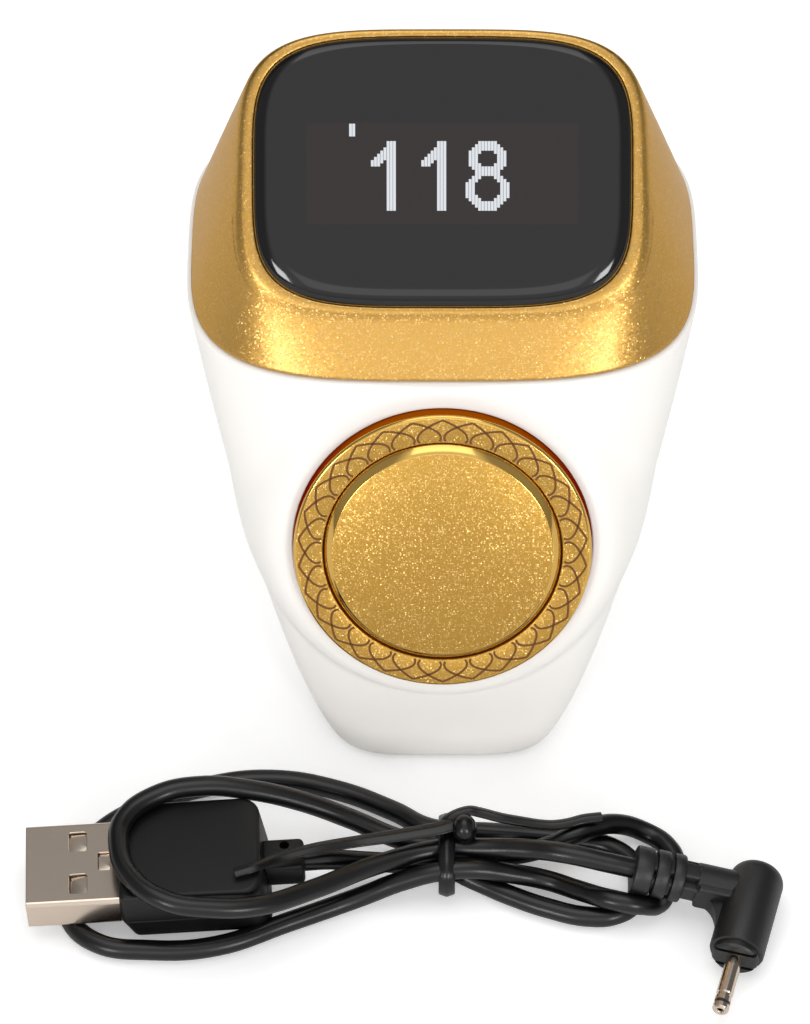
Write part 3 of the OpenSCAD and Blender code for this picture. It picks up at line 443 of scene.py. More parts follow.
# the lead: its route is the one in the part's source, in millimetres here
lead = {
    "diameter": 2.5, "length": 363,
    "route": [
        (-16.55, -39.5, 5.55), (-13.85, -39.36, 5.62), (-8.98, -38.23, 3.67),
        (-4.5, -37.86, 2.69), (0, -37.88, 2.17), (4, -39.46, 1.45), (8, -41.45, 1.27),
        (12.8, -43.46, 1.28), (17.5, -44.66, 1.28), (20.79, -44.38, 1.32), (22.95, -42.63, 1.24),
        (23.59, -40.1, 1.34), (23, -36.87, 1.29), (20.6, -34.45, 1.27), (17, -33.35, 1.27),
        (12, -32.65, 1.27), (6, -32.64, 1.95), (-1.5, -32.14, 2.2), (-6, -29.04, 1.55),
        (-13, -25.65, 1.27), (-21, -24.05, 1.27), (-29, -25.15, 1.27), (-36.99, -28.45, 1.27),
        (-42.49, -33.05, 1.27), (-45.29, -38.85, 1.27), (-44.79, -44.75, 1.27),
        (-41.59, -48.35, 1.28), (-34.99, -49.55, 1.28), (-27, -49, 1.35), (-18.5, -45.46, 1.29),
        (-10, -42.09, 1.72), (-4.8, -41.03, 3.58), (0, -40.5, 4.87), (4, -40.1, 4.72),
        (7.99, -39.81, 3.47), (12.49, -39.95, 2.24), (16.49, -41.93, 2.79), (20.2, -44.24, 4.16),
        (23.97, -44.47, 3.41), (26.19, -42.51, 1.3), (27.19, -40.09, 1.27), (28.19, -36.89, 1.27),
        (27.39, -34.51, 1.35), (24.99, -32.35, 1.4), (20.59, -32.31, 3.29), (16.59, -34.6, 4.57),
        (12.79, -35.75, 3.4), (8.5, -35.82, 1.87), (4, -35.43, 1.97), (0, -35.15, 2.41),
        (-5, -34.21, 2.68), (-10.99, -32.61, 4.62), (-16.98, -31.88, 7.23),
        (-23.25, -31.74, 9.38), (-29.21, -32.04, 10.51), (-34.59, -33.5, 10.46),
        (-38.09, -36.79, 10.32), (-38.59, -40.76, 10.3), (-36.99, -45.31, 10.38),
        (-32.8, -48.81, 10.4), (-27.85, -49.35, 9.7), (-21.87, -48.31, 8.58),
        (-15.49, -44.77, 6.97), (-8, -40.27, 5.73), (0, -37.31, 5.04), (5, -37.57, 5.49),
        (10, -38.54, 6.65), (14.8, -40.02, 7.72), (19.89, -40.97, 7.13), (22.8, -41.3, 6.5)],
}


def makeLead(shape):
    data = bpy.data.curves.new("leadCord", "CURVE")
    data.dimensions = "3D"
    data.bevel_depth = shape["diameter"] / 2 * mm
    data.bevel_resolution = 5
    data.resolution_u = 8
    data.use_fill_caps = True
    spline = data.splines.new("BEZIER")
    spline.bezier_points.add(len(shape["route"]) - 1)
    for knot, place in zip(spline.bezier_points, shape["route"]):
        knot.co = Vector(place) * mm
        knot.handle_left_type = knot.handle_right_type = "AUTO"
    data.materials.append(cablePvc)
    return addPiece("leadCord", data, "lead_pvc", "lead_cord")


leadCord = makeLead(lead)
print("camera and lead made")

# white body: a rounded square that widens and leans back as it rises, with a boss in front
bodyShape = {
    "footWidth": 28, "footDepth": 40, "footGap": 0.4, "footEdge": 0.8, "footWall": 2.6,
    "seamHeight": 52, "seamWidth": 61.4, "seamDepth": 45, "seamEdge": 0.3,
    "lean": 15.3, "flare": 0.72, "frontCurve": 1.6, "squareAtFoot": 4.5, "squareAtSeam": 3.5,
    "wall": 1.8, "shelf": 3,
    "bossMargin": 0.9, "bossEdge": 1.9, "bossBlend": 2.4, "leastBlend": 0.05,
    "seatRim": 0.12, "seatCut": 6, "ringGap": 0.1, "neckCut": (-12.3, -1),
    "socketHeight": 8.4, "socketHole": 2.4, "socketCut": (-1, 9),
    "turns": 256, "rows": 120, "edgeRows": 5, "seamRows": 4, "innerRows": 10,
}
ringShape = {
    "radius": 17.9, "proud": 2, "cone": 0.15, "height": 34, "lean": 24.5, "turns": 192,
    "lap": 0.9, "bore": 14.26, "shoulder": -3.6, "neckWall": 0.9, "neckLength": 10.8,
    # the two upper edges, measured from the bore and from the top's outer edge
    "boreEdge": [(0, -0.14), (0.04, -0.04), (0.14, 0)],
    "rimEdge": [(-0.34, 0), (-0.22, -0.03), (-0.05, -0.16), (0, -0.34)], "rimDepth": 0.4,
}
lean = radians(ringShape["lean"])


def bodyPoint(z, angle, inset):
    s = bodyShape
    t = z / s["seamHeight"]
    half = mix(s["footWidth"] / 2, s["seamWidth"] / 2, t ** s["flare"]) - inset
    front = -s["footDepth"] / 2 + s["lean"] * t ** s["frontCurve"] + inset
    back = mix(s["footDepth"] / 2, s["lean"] + s["seamDepth"] - s["footDepth"] / 2, t) - inset
    r = superRadius(angle, mix(s["squareAtFoot"], s["squareAtSeam"], t))
    return Vector((half * r * cos(angle),
            (front + back) / 2 + (back - front) / 2 * r * sin(angle), z))


seamFront = bodyPoint(bodyShape["seamHeight"], -pi / 2, 0).y
seatHeight = ringShape["height"] - ringShape["proud"] * sin(lean)
seatFront = seamFront - (bodyShape["seamHeight"] - seatHeight) * tan(lean)
ringFrame = (shifted(0, seatFront - ringShape["proud"] * cos(lean), ringShape["height"])
        @ Matrix.Rotation(pi / 2 - lean, 4, "X"))


def withBoss(point, angle):
    # the front swells out to the ring's flat seat and rounds off round it
    share = min(1, -2 * sin(angle))
    if share <= 0:
        return point
    s = bodyShape
    rise = point.z - seatHeight
    past = max(hypot(point.x, rise / cos(lean)) - ringShape["radius"] - s["bossMargin"], 0)
    boss = seatFront - s["seatRim"] + rise * tan(lean) + past * past / (2 * s["bossEdge"])
    blend = max(s["bossBlend"] * min(past / s["bossEdge"], 1), s["leastBlend"])
    near = max(blend - abs(point.y - boss), 0) / blend
    front = min(point.y, boss) - near * near * blend / 4
    return Vector((point.x, mix(point.y, front, share), point.z))


def makeWhiteBody(s):
    angles = wholeTurn(s["turns"])
    low, top = s["footGap"], s["seamHeight"]
    start, end = low + s["footEdge"], top - s["seamEdge"]

    def row(z, inset):
        return [withBoss(bodyPoint(z, a, inset), a) for a in angles]

    def bottomRow(z):
        return [Vector((p.x, p.y, z)) for p in (bodyPoint(low, a, s["footWall"]) for a in angles)]

    rows = [bottomRow(low)]
    rows += [row(low + s["footEdge"] * along, s["footEdge"] * left)
            for along, left in quarterRound(s["edgeRows"])]
    rows += [row(mix(start, end, k / s["rows"]), 0) for k in range(1, s["rows"] + 1)]
    rows += [row(top - s["seamEdge"] * left, s["seamEdge"] * along)
            for along, left in quarterRound(s["seamRows"])[1:]]
    # the inner wall has no boss
    for k in range(s["innerRows"] + 1):
        z = mix(top, s["shelf"], k / s["innerRows"])
        rows.append([bodyPoint(z, a, s["wall"]) for a in angles])
    rows += [bottomRow(s["shelf"]), bottomRow(low)]
    piece = finishMesh(growSkin(rows, closed=True), "whiteBody", [whiteAbs],
            slot="white_shell", stands="white_body")
    seat = ringShape["radius"] + s["ringGap"]
    socketFrame = shifted(0, s["footDepth"] / 2, s["socketHeight"]) @ turned(-90, "X")
    cutAway(piece, [roundCutter(seat, -ringShape["proud"], s["seatCut"], ringFrame),
            roundCutter(seat - ringShape["lap"], *s["neckCut"], ringFrame),
            roundCutter(s["socketHole"], *s["socketCut"], socketFrame, 64)])


makeWhiteBody(bodyShape)
print("white body made")

# gold cap: from the seam up to a lip that lies in the sloping plane of the glass
capShape = {
    "inset": 0.55, "seamGap": 0.15, "edge": 0.25, "bulge": 0.1, "rows": 28,
    "wide": 1.025, "taper": 0.02, "round": 1.1, "roundRows": 8, "roundClear": 0.1,
    "slope": 44.5, "lipWidth": 1.3, "lipGap": 0.15, "lipDrop": 0.35, "lipRise": 6.6, "lipBack": 4.7,
    # the lip's flat band and rounded inner edge: how far from the glass, how high
    "lipFlat": (-0.8, -0.06),
    "lipEdge": [(-0.35, -0.01), (-0.12, -0.03), (-0.03, -0.1), (0, -0.25)],
    "ledge": 3, "ledgeThick": 1.2, "skirtGap": 0.2, "skirtThick": 1.4, "skirtHeight": 2,
}
glassShape = {
    "width": 44, "length": 31, "thick": 1.8, "proud": 0.9, "seat": 1.2, "square": 4.1,
    "topReach": 0.25, "edgeWidth": 2.5, "edgeTop": 0.9, "edgeDrop": 0.95, "edgeRows": 14,
    "turns": 256,
}
slope = radians(capShape["slope"])
lipOut = capShape["lipGap"] + capShape["lipWidth"]
lipReach = glassShape["length"] / 2 + lipOut
glassFrame = (shifted(0, seamFront + capShape["lipBack"] + lipReach * cos(slope),
        bodyShape["seamHeight"] + capShape["lipRise"] + lipReach * sin(slope))
        @ Matrix.Rotation(slope, 4, "X"))


def glassRow(outset, height):
    # the window reaches a little further up than the lip's middle, and its round edge is
    # narrower there
    s = glassShape
    points = []
    fade = 1 - min(max(outset, 0), lipOut) / lipOut
    for a in wholeTurn(s["turns"]):
        r = superRadius(a, s["square"])
        top = max(sin(a), 0) ** 2
        out = outset * (mix(1, s["edgeTop"] / s["edgeWidth"], top) if outset < 0 else 1)
        points.append(Vector(((s["width"] / 2 + out) * r * cos(a),
                (s["length"] / 2 + out) * r * sin(a)
                + s["topReach"] * fade * top, height)))
    return points


def makeCap(s):
    angles = wholeTurn(glassShape["turns"])
    seam = bodyShape["seamHeight"]
    low, edge, lip = seam + s["seamGap"], s["edge"], s["lipWidth"]

    def seamRow(z, inset):
        return [Vector((p.x, p.y, z)) for p in (bodyPoint(seam, a, inset) for a in angles)]

    def skirtRow(z, inset):
        # it drops into the body, so it clears the leaning wall at its top and at its foot
        points = []
        for a in angles:
            foot, head = bodyPoint(seam - s["skirtHeight"], a, inset), bodyPoint(seam, a, inset)
            clear = max if a > pi else min
            points.append(Vector((foot.x, clear(foot.y, head.y), z)))
        return points

    def lipRow(inset, height):
        # the outer edge is a little narrower at the top than at the bottom
        points = glassRow(s["lipGap"] - inset, height)
        for p in points:
            p.x *= 1 + max(-inset, 0) / lip * (s["wide"] - 1 - s["taper"] * p.y / lipReach)
        return [glassFrame @ p for p in points]

    rows = [seamRow(low + edge * along, s["inset"] + edge * left)
            for along, left in quarterRound(4)]
    foot, crease, flat = rows[-1], lipRow(-lip, -s["lipDrop"]), lipRow(*s["lipFlat"])
    for k in range(1, s["rows"]):
        t = k / s["rows"]
        out = s["bulge"] * sin(pi * t)
        rows.append([mix(f, c, t) + out * Vector((cos(a), sin(a), 0))
                for f, c, a in zip(foot, crease, angles)])
    # a soft crease takes the place of the last rows, then comes the lip
    below = [c + (f - c).normalized() * s["round"] for f, c in zip(foot, crease)]
    while (rows[-1][0] - foot[0]).length > (below[0] - foot[0]).length - s["roundClear"]:
        rows.pop()
    for k in range(s["roundRows"] + 1):
        t = k / s["roundRows"]
        rows.append([b * (1 - t) ** 2 + c * 2 * t * (1 - t) + f * t * t
                for b, c, f in zip(below, crease, flat)])
    seat = -glassShape["seat"]
    under = seat - s["ledgeThick"]
    rows += [lipRow(*spot) for spot in s["lipEdge"] + [
        (0, seat), (s["ledge"], seat), (s["ledge"], under), (-s["lipGap"], under)]]
    outer = bodyShape["wall"] + s["skirtGap"]
    inner, bottom = outer + s["skirtThick"], seam - s["skirtHeight"]
    rows += [skirtRow(low, inner), skirtRow(bottom, inner), skirtRow(bottom, outer),
            skirtRow(low, outer), rows[0]]
    finishMesh(growSkin(rows, closed=True), "goldCap", [capGold], sharp=50,
            slot="gold_cap", stands="bezel_cap")


def makeGlass(s):
    rows = [glassRow(0, s["proud"] - s["thick"])]
    rows += [glassRow(-s["edgeWidth"] * along, s["proud"] - s["edgeDrop"] * left)
            for along, left in quarterRound(s["edgeRows"])]
    finishMesh(growSkin(rows), "displayGlass", [blackGlass], place=glassFrame,
            slot="black_glass", stands="display_glass")


makeCap(capShape)
makeGlass(glassShape)
print("cap and glass made")

# the count on the display: square dots on a fixed pitch, the middle of the glass is 0, 0
countShape = {
    "pitch": 0.3675, "dotWidth": 0.88, "lift": 0.03, "area": (31.8, 11.8),
    "top": 3.75, "ones": (-6.53, -0.66), "eight": 2.66, "mark": (-10.9, 5.77),
    # the eight's two rings, each a filled form and its hole, in cells: left, right, top,
    # bottom, and how far the corners are stepped
    "rings": [((1, 12, 0, 10, 3), (4, 9, 3, 7, 1)), ((0, 13, 9, 21, 4), (3, 10, 11, 18, 2))],
}


def steppedBox(col, row, left, right, top, bottom, cut):
    across, down = min(col - left, right - col), min(row - top, bottom - row)
    return across >= 0 and down >= 0 and across + down >= cut


def block(cols, rows):
    return [(col, row) for col in range(cols) for row in range(rows)]


def eightCells(rings):
    return [(col, row) for col, row in block(14, 22)
            if any(steppedBox(col, row, *form) and not steppedBox(col, row, *hole)
            for form, hole in rings)]


def oneCells():
    cells = block(3, 22)
    for step in range(1, 6):
        cells += [(-step, row) for row in range(step + 1, min(step + 5, 8))]
    return cells


def makeCount(s):
    bm = bmesh.new()
    pitch = s["pitch"]
    height = glassShape["proud"] + s["lift"]
    groups = [(left, s["top"], oneCells()) for left in s["ones"]]
    groups.append((s["eight"], s["top"], eightCells(s["rings"])))
    groups.append((*s["mark"], block(2, 4)))
    for left, top, cells in groups:
        for col, row in cells:
            spot = (left + (col + 0.5) * pitch, top - (row + 0.5) * pitch, height)
            addSquare(bm, 1, pitch * s["dotWidth"], pitch, spot)
    finishMesh(bm, "countDots", [displayDots], place=glassFrame, slot="black_glass")
    area = addSquare(bmesh.new(), 1, *s["area"], (0, 0, height - s["lift"] / 2))
    finishMesh(area, "displayArea", [displayTint], place=glassFrame, slot="black_glass")


makeCount(countShape)
print("display count made")

# ring and button, both turned parts: (radius, height) outlines round the ring's axis
buttonShape = {
    "radius": 14.15, "proud": 0.75, "bevel": 0.95,
    # the bevel's two rounded edges, measured from its corners
    "upperEdge": [(-0.06, 0), (0.03, -0.03)], "lowerEdge": [(-0.05, 0.06), (0, -0.05)],
    "flange": 1.2, "flangeGap": 0.1, "flangeClear": 0.3, "stem": 2.5, "stemLength": 0.5,
}
traceryShape = {
    "repeats": 30, "width": 0.27, "lift": 0.012,
    # half of one arch: share of the pitch, radius in millimetres
    "half": [(0, 17.2), (0.26, 16.8), (0.5, 16.38), (0.74, 15.9), (0.88, 15.46),
        (0.935, 15.05), (0.925, 14.75), (0.885, 14.5)],
}


def edgeAt(x, y, edge):
    return [(x + out, y + up) for out, up in edge]


def faceSpot(face):
    middle = face.calc_center_median()
    return hypot(middle.x, middle.y), middle.z


def makeRing(s):
    base, bore, shoulder = s["radius"], s["bore"], s["shoulder"]
    neck, top, bottom = base - s["lap"], base - s["cone"], -s["neckLength"]
    inner = neck - s["neckWall"]
    outline = edgeAt(top, 0, s["rimEdge"]) + [
        (base, -s["proud"]), (neck, -s["proud"]), (neck, bottom), (inner, bottom),
        (inner, shoulder), (bore, shoulder)] + edgeAt(bore, 0, s["boreEdge"])
    bm = spinProfile(outline, s["turns"])
    # small margins tell the faces of the edge, the side wall and the bore apart
    rim, low = s["rimDepth"], s["boreEdge"][0][1]
    for face in bm.faces:
        r, z = faceSpot(face)
        # the top's outer edge: polished gold, painted lighter as a painted highlight
        if r > top - rim and -rim < z < -0.005:
            face.material_index = 1
        # the side wall: painted shade, in dark amber brown
        elif r > top - 0.1 and z < -rim:
            face.material_index = 2
        # the bore's wall: the ink's dark brown, as painted shade in the gap round the button
        elif r < bore + 0.2 and z < low:
            face.material_index = 3
    finishMesh(bm, "goldRing", [ringGold, polishedGoldAndHighlight, sideWallPaintedShade, tracerInkAndGapShade],
            place=ringFrame, sharp=50, slot="gold_ring", stands="button_ring")


def layRibbon(bm, side, path, width, height):
    # two points are extruded along the path, one on each side of it
    verts = [bm.verts.new((0, 0, 0)) for i in range(2)]
    for i, vert in enumerate(verts):
        vert[side] = i
    edges = [bm.edges.new(verts)]
    for k, spot in enumerate(path):
        if k:
            verts, edges = extrudeOn(bm, edges)
        ahead = heading(path, k)
        across = Vector((-ahead.y, ahead.x, 0)) * width / 2
        for vert in verts:
            vert.co = spot + across * (2 * vert[side] - 1) + Vector((0, 0, height))


def makeTracery(s):
    bm = bmesh.new()
    side = bm.verts.layers.int.new("side")
    pitch = tau / s["repeats"]
    curve = smoothPath([(share, r, 0) for share, r in s["half"]], 3)
    for k in range(s["repeats"]):
        for way in (-1, 1):
            path = [Vector((p.y * sin(k * pitch + way * p.x * pitch),
                    p.y * cos(k * pitch + way * p.x * pitch), 0)) for p in curve]
            layRibbon(bm, side, path, s["width"], s["lift"])
    finishMesh(bm, "ringTracery", [tracerInkAndGapShade], place=ringFrame, slot="gold_ring")


def makeButton(s):
    r, top, edge, stem = s["radius"], s["proud"], s["bevel"], s["stem"]
    flangeTop = ringShape["shoulder"] - s["flangeGap"]
    low = flangeTop - s["flange"]
    end = low - s["stemLength"]
    flange = ringShape["radius"] - ringShape["lap"] - ringShape["neckWall"] - s["flangeClear"]
    outline = [(0, top)] + edgeAt(r - edge, top, s["upperEdge"]) + edgeAt(
        r, top - edge, s["lowerEdge"]) + [(r, flangeTop), (flange, flangeTop), (flange, low),
                (stem, low), (stem, end), (0, end)]
    bm = spinProfile(outline, ringShape["turns"], closed=False)
    for face in bm.faces:
        reach, z = faceSpot(face)
        # the bevel: polished gold, painted lighter as a painted highlight
        if reach > r - edge - 0.03 and z > top - edge - 0.02:
            face.material_index = 1
    finishMesh(bm, "countButton", [ringGold, polishedGoldAndHighlight], place=ringFrame, sharp=30,
            body="button", slot="gold_button", stands="count_button")


makeRing(ringShape)
makeTracery(traceryShape)
makeButton(buttonShape)
print("ring, tracery and button made")

# USB plug: its frame starts where the cable leaves it, x towards the cable
usbShape = {
    "yaw": 3, "tilt": -1.5,
    "relief": (5.2, 4.6, 3.5), "reliefCorner": 0.7, "reliefRim": 0.5,
    "reliefHole": 0.6, "reliefHolePlace": (-2.34, 1.2, 0), "reliefHoleFloor": 0.4,
    "gripLength": 16.9, "gripWidth": 14.2, "gripThick": 8.1, "gripRim": 0.5,
    "gripCorner": 2.2, "gripEndCorner": 0.8, "gripSlope": 1.1, "gripDraw": 1.4,
    "gripNarrow": 0.25, "gripSeam": -0.7,
    # the seam's groove: height from its middle, depth
    "gripGroove": [(-0.12, 0), (-0.04, 0.12), (0.04, 0.12), (0.12, 0)],
    "shell": (11.2, 12, 4.5), "shellCorner": 0.55, "shellWall": 0.3, "shellEdge": 0.07,
    "window": (2.1, 2.8), "windowCorner": 0.35, "windowAlong": 5.2, "windowAcross": 3.1,
    "slot": (1.4, 2.6), "slotCorner": 0.25, "slotAlong": 1.8,
    # larger faces stay flat, in square millimetres
    "flatArea": 0.05,
    "leaf": (3, 2.55, 0.2), "leafEdge": (0.2, 0.05), "leafAhead": 0.3, "leafDrop": 0.42,
    "leafTilts": (-7, -3),
}
usbFrame = (shifted(*lead["route"][0]) @ turned(usbShape["yaw"], "Z")
        @ turned(usbShape["tilt"], "Y"))


def gripRow(s, z, inset):
    # one level of the grip: its cable end slopes out below, its shell end draws in below
    below = max(s["gripSeam"] - z, 0) / (s["gripSeam"] + s["gripThick"] / 2)
    start = -s["relief"][0] - s["gripLength"] + inset + s["gripDraw"] * below
    end = -s["relief"][0] - inset + s["gripSlope"] * (0.5 - z / s["gripThick"])
    half = s["gripWidth"] / 2 - inset - s["gripNarrow"] * below
    corners = [(end, half, s["gripCorner"]), (start, half, s["gripEndCorner"]),
            (start, -half, s["gripEndCorner"]), (end, -half, s["gripCorner"])]
    points = []
    for turn, (x, y, r) in enumerate(corners):
        middle = Vector((x + copysign(r, start + end - 2 * x), y - copysign(r, y), z))
        for k in range(9):
            a = (turn + k / 8) * pi / 2
            points.append(middle + Vector((r * cos(a), r * sin(a), 0)))
    return points


def makeUsbPlug(s):
    relief, rim, half = s["relief"], s["gripRim"], s["gripThick"] / 2
    edge = quarterRound(5)
    rows = [gripRow(s, rim * along - half, rim * left) for along, left in edge]
    rows += [gripRow(s, s["gripSeam"] + z, depth) for z, depth in s["gripGroove"]]
    rows += [gripRow(s, half - rim * left, rim * along) for along, left in edge]
    usbGrip = finishMesh(growSkin(rows), "usbGrip", [blackPvc], place=usbFrame, sharp=28,
            slot="plug_pvc", stands="usb_grip")
    sleeve = makeBlock(relief, (-relief[0] / 2, 0, 0), s["reliefCorner"], s["reliefRim"], 5)
    usbRelief = finishMesh(sleeve, "usbRelief", [blackPvc], place=usbFrame, slot="plug_pvc",
            stands="usb_relief")
    hole = usbFrame @ shifted(*s["reliefHolePlace"])
    cutAway(usbRelief, [roundCutter(s["reliefHole"], s["reliefHoleFloor"], relief[2], hole, 32)])
    long, wide, high = s["shell"]
    start = -relief[0] - s["gripLength"] - long
    bm = makeBlock((high, wide, long), corner=s["shellCorner"])
    ends = [f for f in bm.faces if abs(f.normal.z) > 0.99]
    bmesh.ops.delete(bm, geom=ends, context="FACES_ONLY")
    bmesh.ops.recalc_face_normals(bm, faces=bm.faces)
    bmesh.ops.solidify(bm, geom=bm.faces, thickness=s["shellWall"])
    lying = shifted(start + long / 2, 0, 0) @ turned(90, "Y")
    usbShell = finishMesh(moved(bm, lying), "usbShell", [nickel], place=usbFrame,
            slot="plug_nickel", stands="usb_shell")
    windowMiddle = start + s["windowAlong"] + s["window"][0] / 2
    slotMiddle = start + long - s["slotAlong"]
    cutters = [boxCutter((*s["window"], high * 2), (windowMiddle, y, 0), usbFrame,
            s["windowCorner"]) for y in (-s["windowAcross"], s["windowAcross"])]
    cutters.append(boxCutter((*s["slot"], high), (slotMiddle, 0, high / 2), usbFrame,
            s["slotCorner"]))
    cutAway(usbShell, cutters, 30)
    edge = usbShell.modifiers.new("edge", "BEVEL")
    edge.width = s["shellEdge"] * mm
    edge.segments = 2
    edge.limit_method = "ANGLE"
    applyModifiers(usbShell, 30)
    for face in usbShell.data.polygons:
        face.use_smooth = face.area < s["flatArea"] * mm * mm
    # leaf springs seen through the windows, and a plate under the slot
    leaves = bmesh.new()
    ahead, across = windowMiddle + s["leafAhead"], s["windowAcross"]
    for x, y, tilt in ((ahead, -across, s["leafTilts"][0]), (ahead, across, s["leafTilts"][1]),
            (slotMiddle, 0, 0)):
        spot = shifted(x, y, high / 2 - s["leafDrop"]) @ turned(tilt, "Y")
        joinInto(leaves, moved(makeBlock(s["leaf"], (0, 0, 0), *s["leafEdge"]), spot))
    usbLeaves = finishMesh(leaves, "usbLeaves", [nickel], place=usbFrame, slot="plug_nickel")
    return [usbGrip, usbRelief, usbShell, usbLeaves]


# round plug: its frame starts where the cable enters it, x towards the elbow
roundPlugShape = {
    "yaw": -6.5, "roll": 12.1, "elbow": 14.8, "barrelYaw": -15.2,
    "ribRadius": 2.9, "ribs": [(0, 2.2), (2.5, 1.7), (4.6, 1.5)],
    "ribEdge": [(-0.35, 0), (-0.1, 0.09), (0, 0.3)],
    "webs": [(4.5, 2.1, 7.4), (2.4, 4.3, 7.4)], "webMiddle": 4.2, "webCorner": 0.3,
    "neck": 4.8, "neckStart": 7.6, "neckEdge": 0.2,
    "neckBlock": {"size": (7.1, 2.88, 3.84), "centre": (11.4, -0.96, 0), "corner": 0.4, "rim": 0.3},
    "fillet": (3.1, 4.6), "filletStart": 3.168, "filletDepth": 1.65, "filletEnd": 6.4,
    "filletFoot": 1.8, "filletHalf": 1.344,
    "radius": 3.3, "back": 3.6, "domeEdge": 1.6, "domeHeight": 1.9,
    "front": 8.9, "frontEdge": [(0, -0.35), (-0.1, -0.1), (-0.3, 0)],
    "collarRadius": 2.85, "collarLength": 0.9, "collarEdge": 0.25,
    "notch": (0.5, 1.1), "notchAcross": 1.35, "notchAlong": 0.95,
    "boreRadius": 0.35, "barrelRadius": 1, "barrelLength": 6.4,
    # the groove near the barrel's end: depth, height from that end
    "barrelGroove": [(0, -1.2), (-0.12, -1.05), (-0.12, -0.75), (0, -0.6)],
    "tip": 1.2, "insulator": 0.4, "tipStart": [(-0.08, 0), (-0.08, 0.35), (0, 0.45)],
    "tipEdge": (0.15, 0.2),
}
roundFrame = (shifted(*lead["route"][-1]) @ turned(roundPlugShape["yaw"], "Z")
        @ turned(roundPlugShape["roll"], "Y"))
barrelFrame = (shifted(*(roundFrame @ Vector((roundPlugShape["elbow"], 0, 0))))
        @ turned(roundPlugShape["barrelYaw"], "Z") @ turned(90, "X"))
alongX = turned(90, "Y")


def makeRoundRelief(s):
    relief = bmesh.new()
    r = s["ribRadius"]
    for z, wide in s["ribs"]:
        edge = s["ribEdge"]
        back = [(out, wide - up) for out, up in reversed(edge)]
        joinInto(relief, spinProfile([(0, z)] + edgeAt(r, z, edge + back) + [(0, z + wide)], 64,
                closed=False))
    # between the ribs two crossed webs leave openings, as the moulding does
    for size in s["webs"]:
        joinInto(relief, makeBlock(size, (0, 0, s["webMiddle"]), s["webCorner"]))
    return finishMesh(relief, "roundRelief", [grainPvc], place=roundFrame @ alongX,
            slot="plug_pvc", stands="dc_relief")


def makeRoundBody(s):
    r, half, edge, front = s["radius"], s["neck"] / 2, s["domeEdge"], s["front"]
    corner = quarterRound(10)
    dome = [(r - edge * left, s["domeHeight"] * along - s["back"]) for along, left in corner]
    dome[0] = (0, -s["back"])
    body = spinProfile(dome + edgeAt(r, front, s["frontEdge"]) + [(0, front)], 96, closed=False)
    # the neck: the cable's tube with a flat block on its inner side
    start, end = s["neckStart"], s["elbow"]
    tube = spinProfile([(0, start), (half - s["neckEdge"], start), (half, start + s["neckEdge"]),
            (half, end), (0, end)], 48, closed=False)
    toBody = barrelFrame.inverted() @ roundFrame
    joinInto(body, moved(tube, toBody @ alongX))
    joinInto(body, moved(makeBlock(**s["neckBlock"]), toBody))
    # the web that fills the inner corner with a hollow curve
    long, bend = s["fillet"]
    web = bmesh.new()
    outline = [(-s["filletDepth"], s["filletFoot"]), (-s["filletDepth"], half + bend)]
    outline += [(-s["filletStart"] - long * left, half + bend * along)
            for along, left in reversed(corner)]
    outline.append((-s["filletEnd"], s["filletFoot"]))
    thick = s["filletHalf"]
    face = web.faces.new([web.verts.new((x, -thick, z)) for x, z in outline])
    grown = bmesh.ops.extrude_face_region(web, geom=[face])["geom"]
    bmesh.ops.translate(web, vec=(0, 2 * thick, 0), verts=vertsOf(grown))
    joinInto(body, web)
    return finishMesh(body, "roundPlugBody", [grainPvc], place=barrelFrame, slot="plug_pvc",
            stands="dc_body")


def makeRoundPlug(s):
    # collar, barrel and tip are rings round the pin's bore, one on the other
    pieces = [makeRoundRelief(s), makeRoundBody(s)]
    bore, z, r, edge = s["boreRadius"], s["front"], s["collarRadius"], s["collarEdge"]
    end = z + s["collarLength"]
    ring = spinProfile([(bore, z), (r, z), (r, end - edge), (r - edge, end), (bore, end)], 72)
    plugCollar = finishMesh(ring, "roundPlugCollar", [grainPvc], place=barrelFrame,
            slot="plug_pvc", stands="dc_collar")
    across = s["notchAcross"]
    cutAway(plugCollar, [boxCutter((2 * r + 1, *s["notch"]), (0, y, z + s["notchAlong"]),
            barrelFrame) for y in (-across, across)])
    pieces.append(plugCollar)
    r, z, end = s["barrelRadius"], end, end + s["barrelLength"]
    barrel = spinProfile([(bore, z), (r, z)] + edgeAt(r, end, s["barrelGroove"])
            + [(r, end), (bore, end)], 64)
    pieces.append(finishMesh(barrel, "roundPlugBarrel", [nickel], place=barrelFrame, sharp=30,
            slot="plug_nickel", stands="dc_barrel"))
    z, end = end, end + s["tip"]
    edge, low = s["tipEdge"]
    nose = spinProfile([(bore, z)] + edgeAt(r, z, s["tipStart"])
            + [(r, end - low), (r - edge, end), (bore + edge, end), (bore, end - low)], 64)
    for part in nose.faces:
        part.material_index = int(part.calc_center_median().z > z + s["insulator"])
    pieces.append(finishMesh(nose, "roundPlugTip", [darkRing, nickel], place=barrelFrame,
            sharp=30, slot="plug_pvc", stands="dc_tip"))
    return pieces


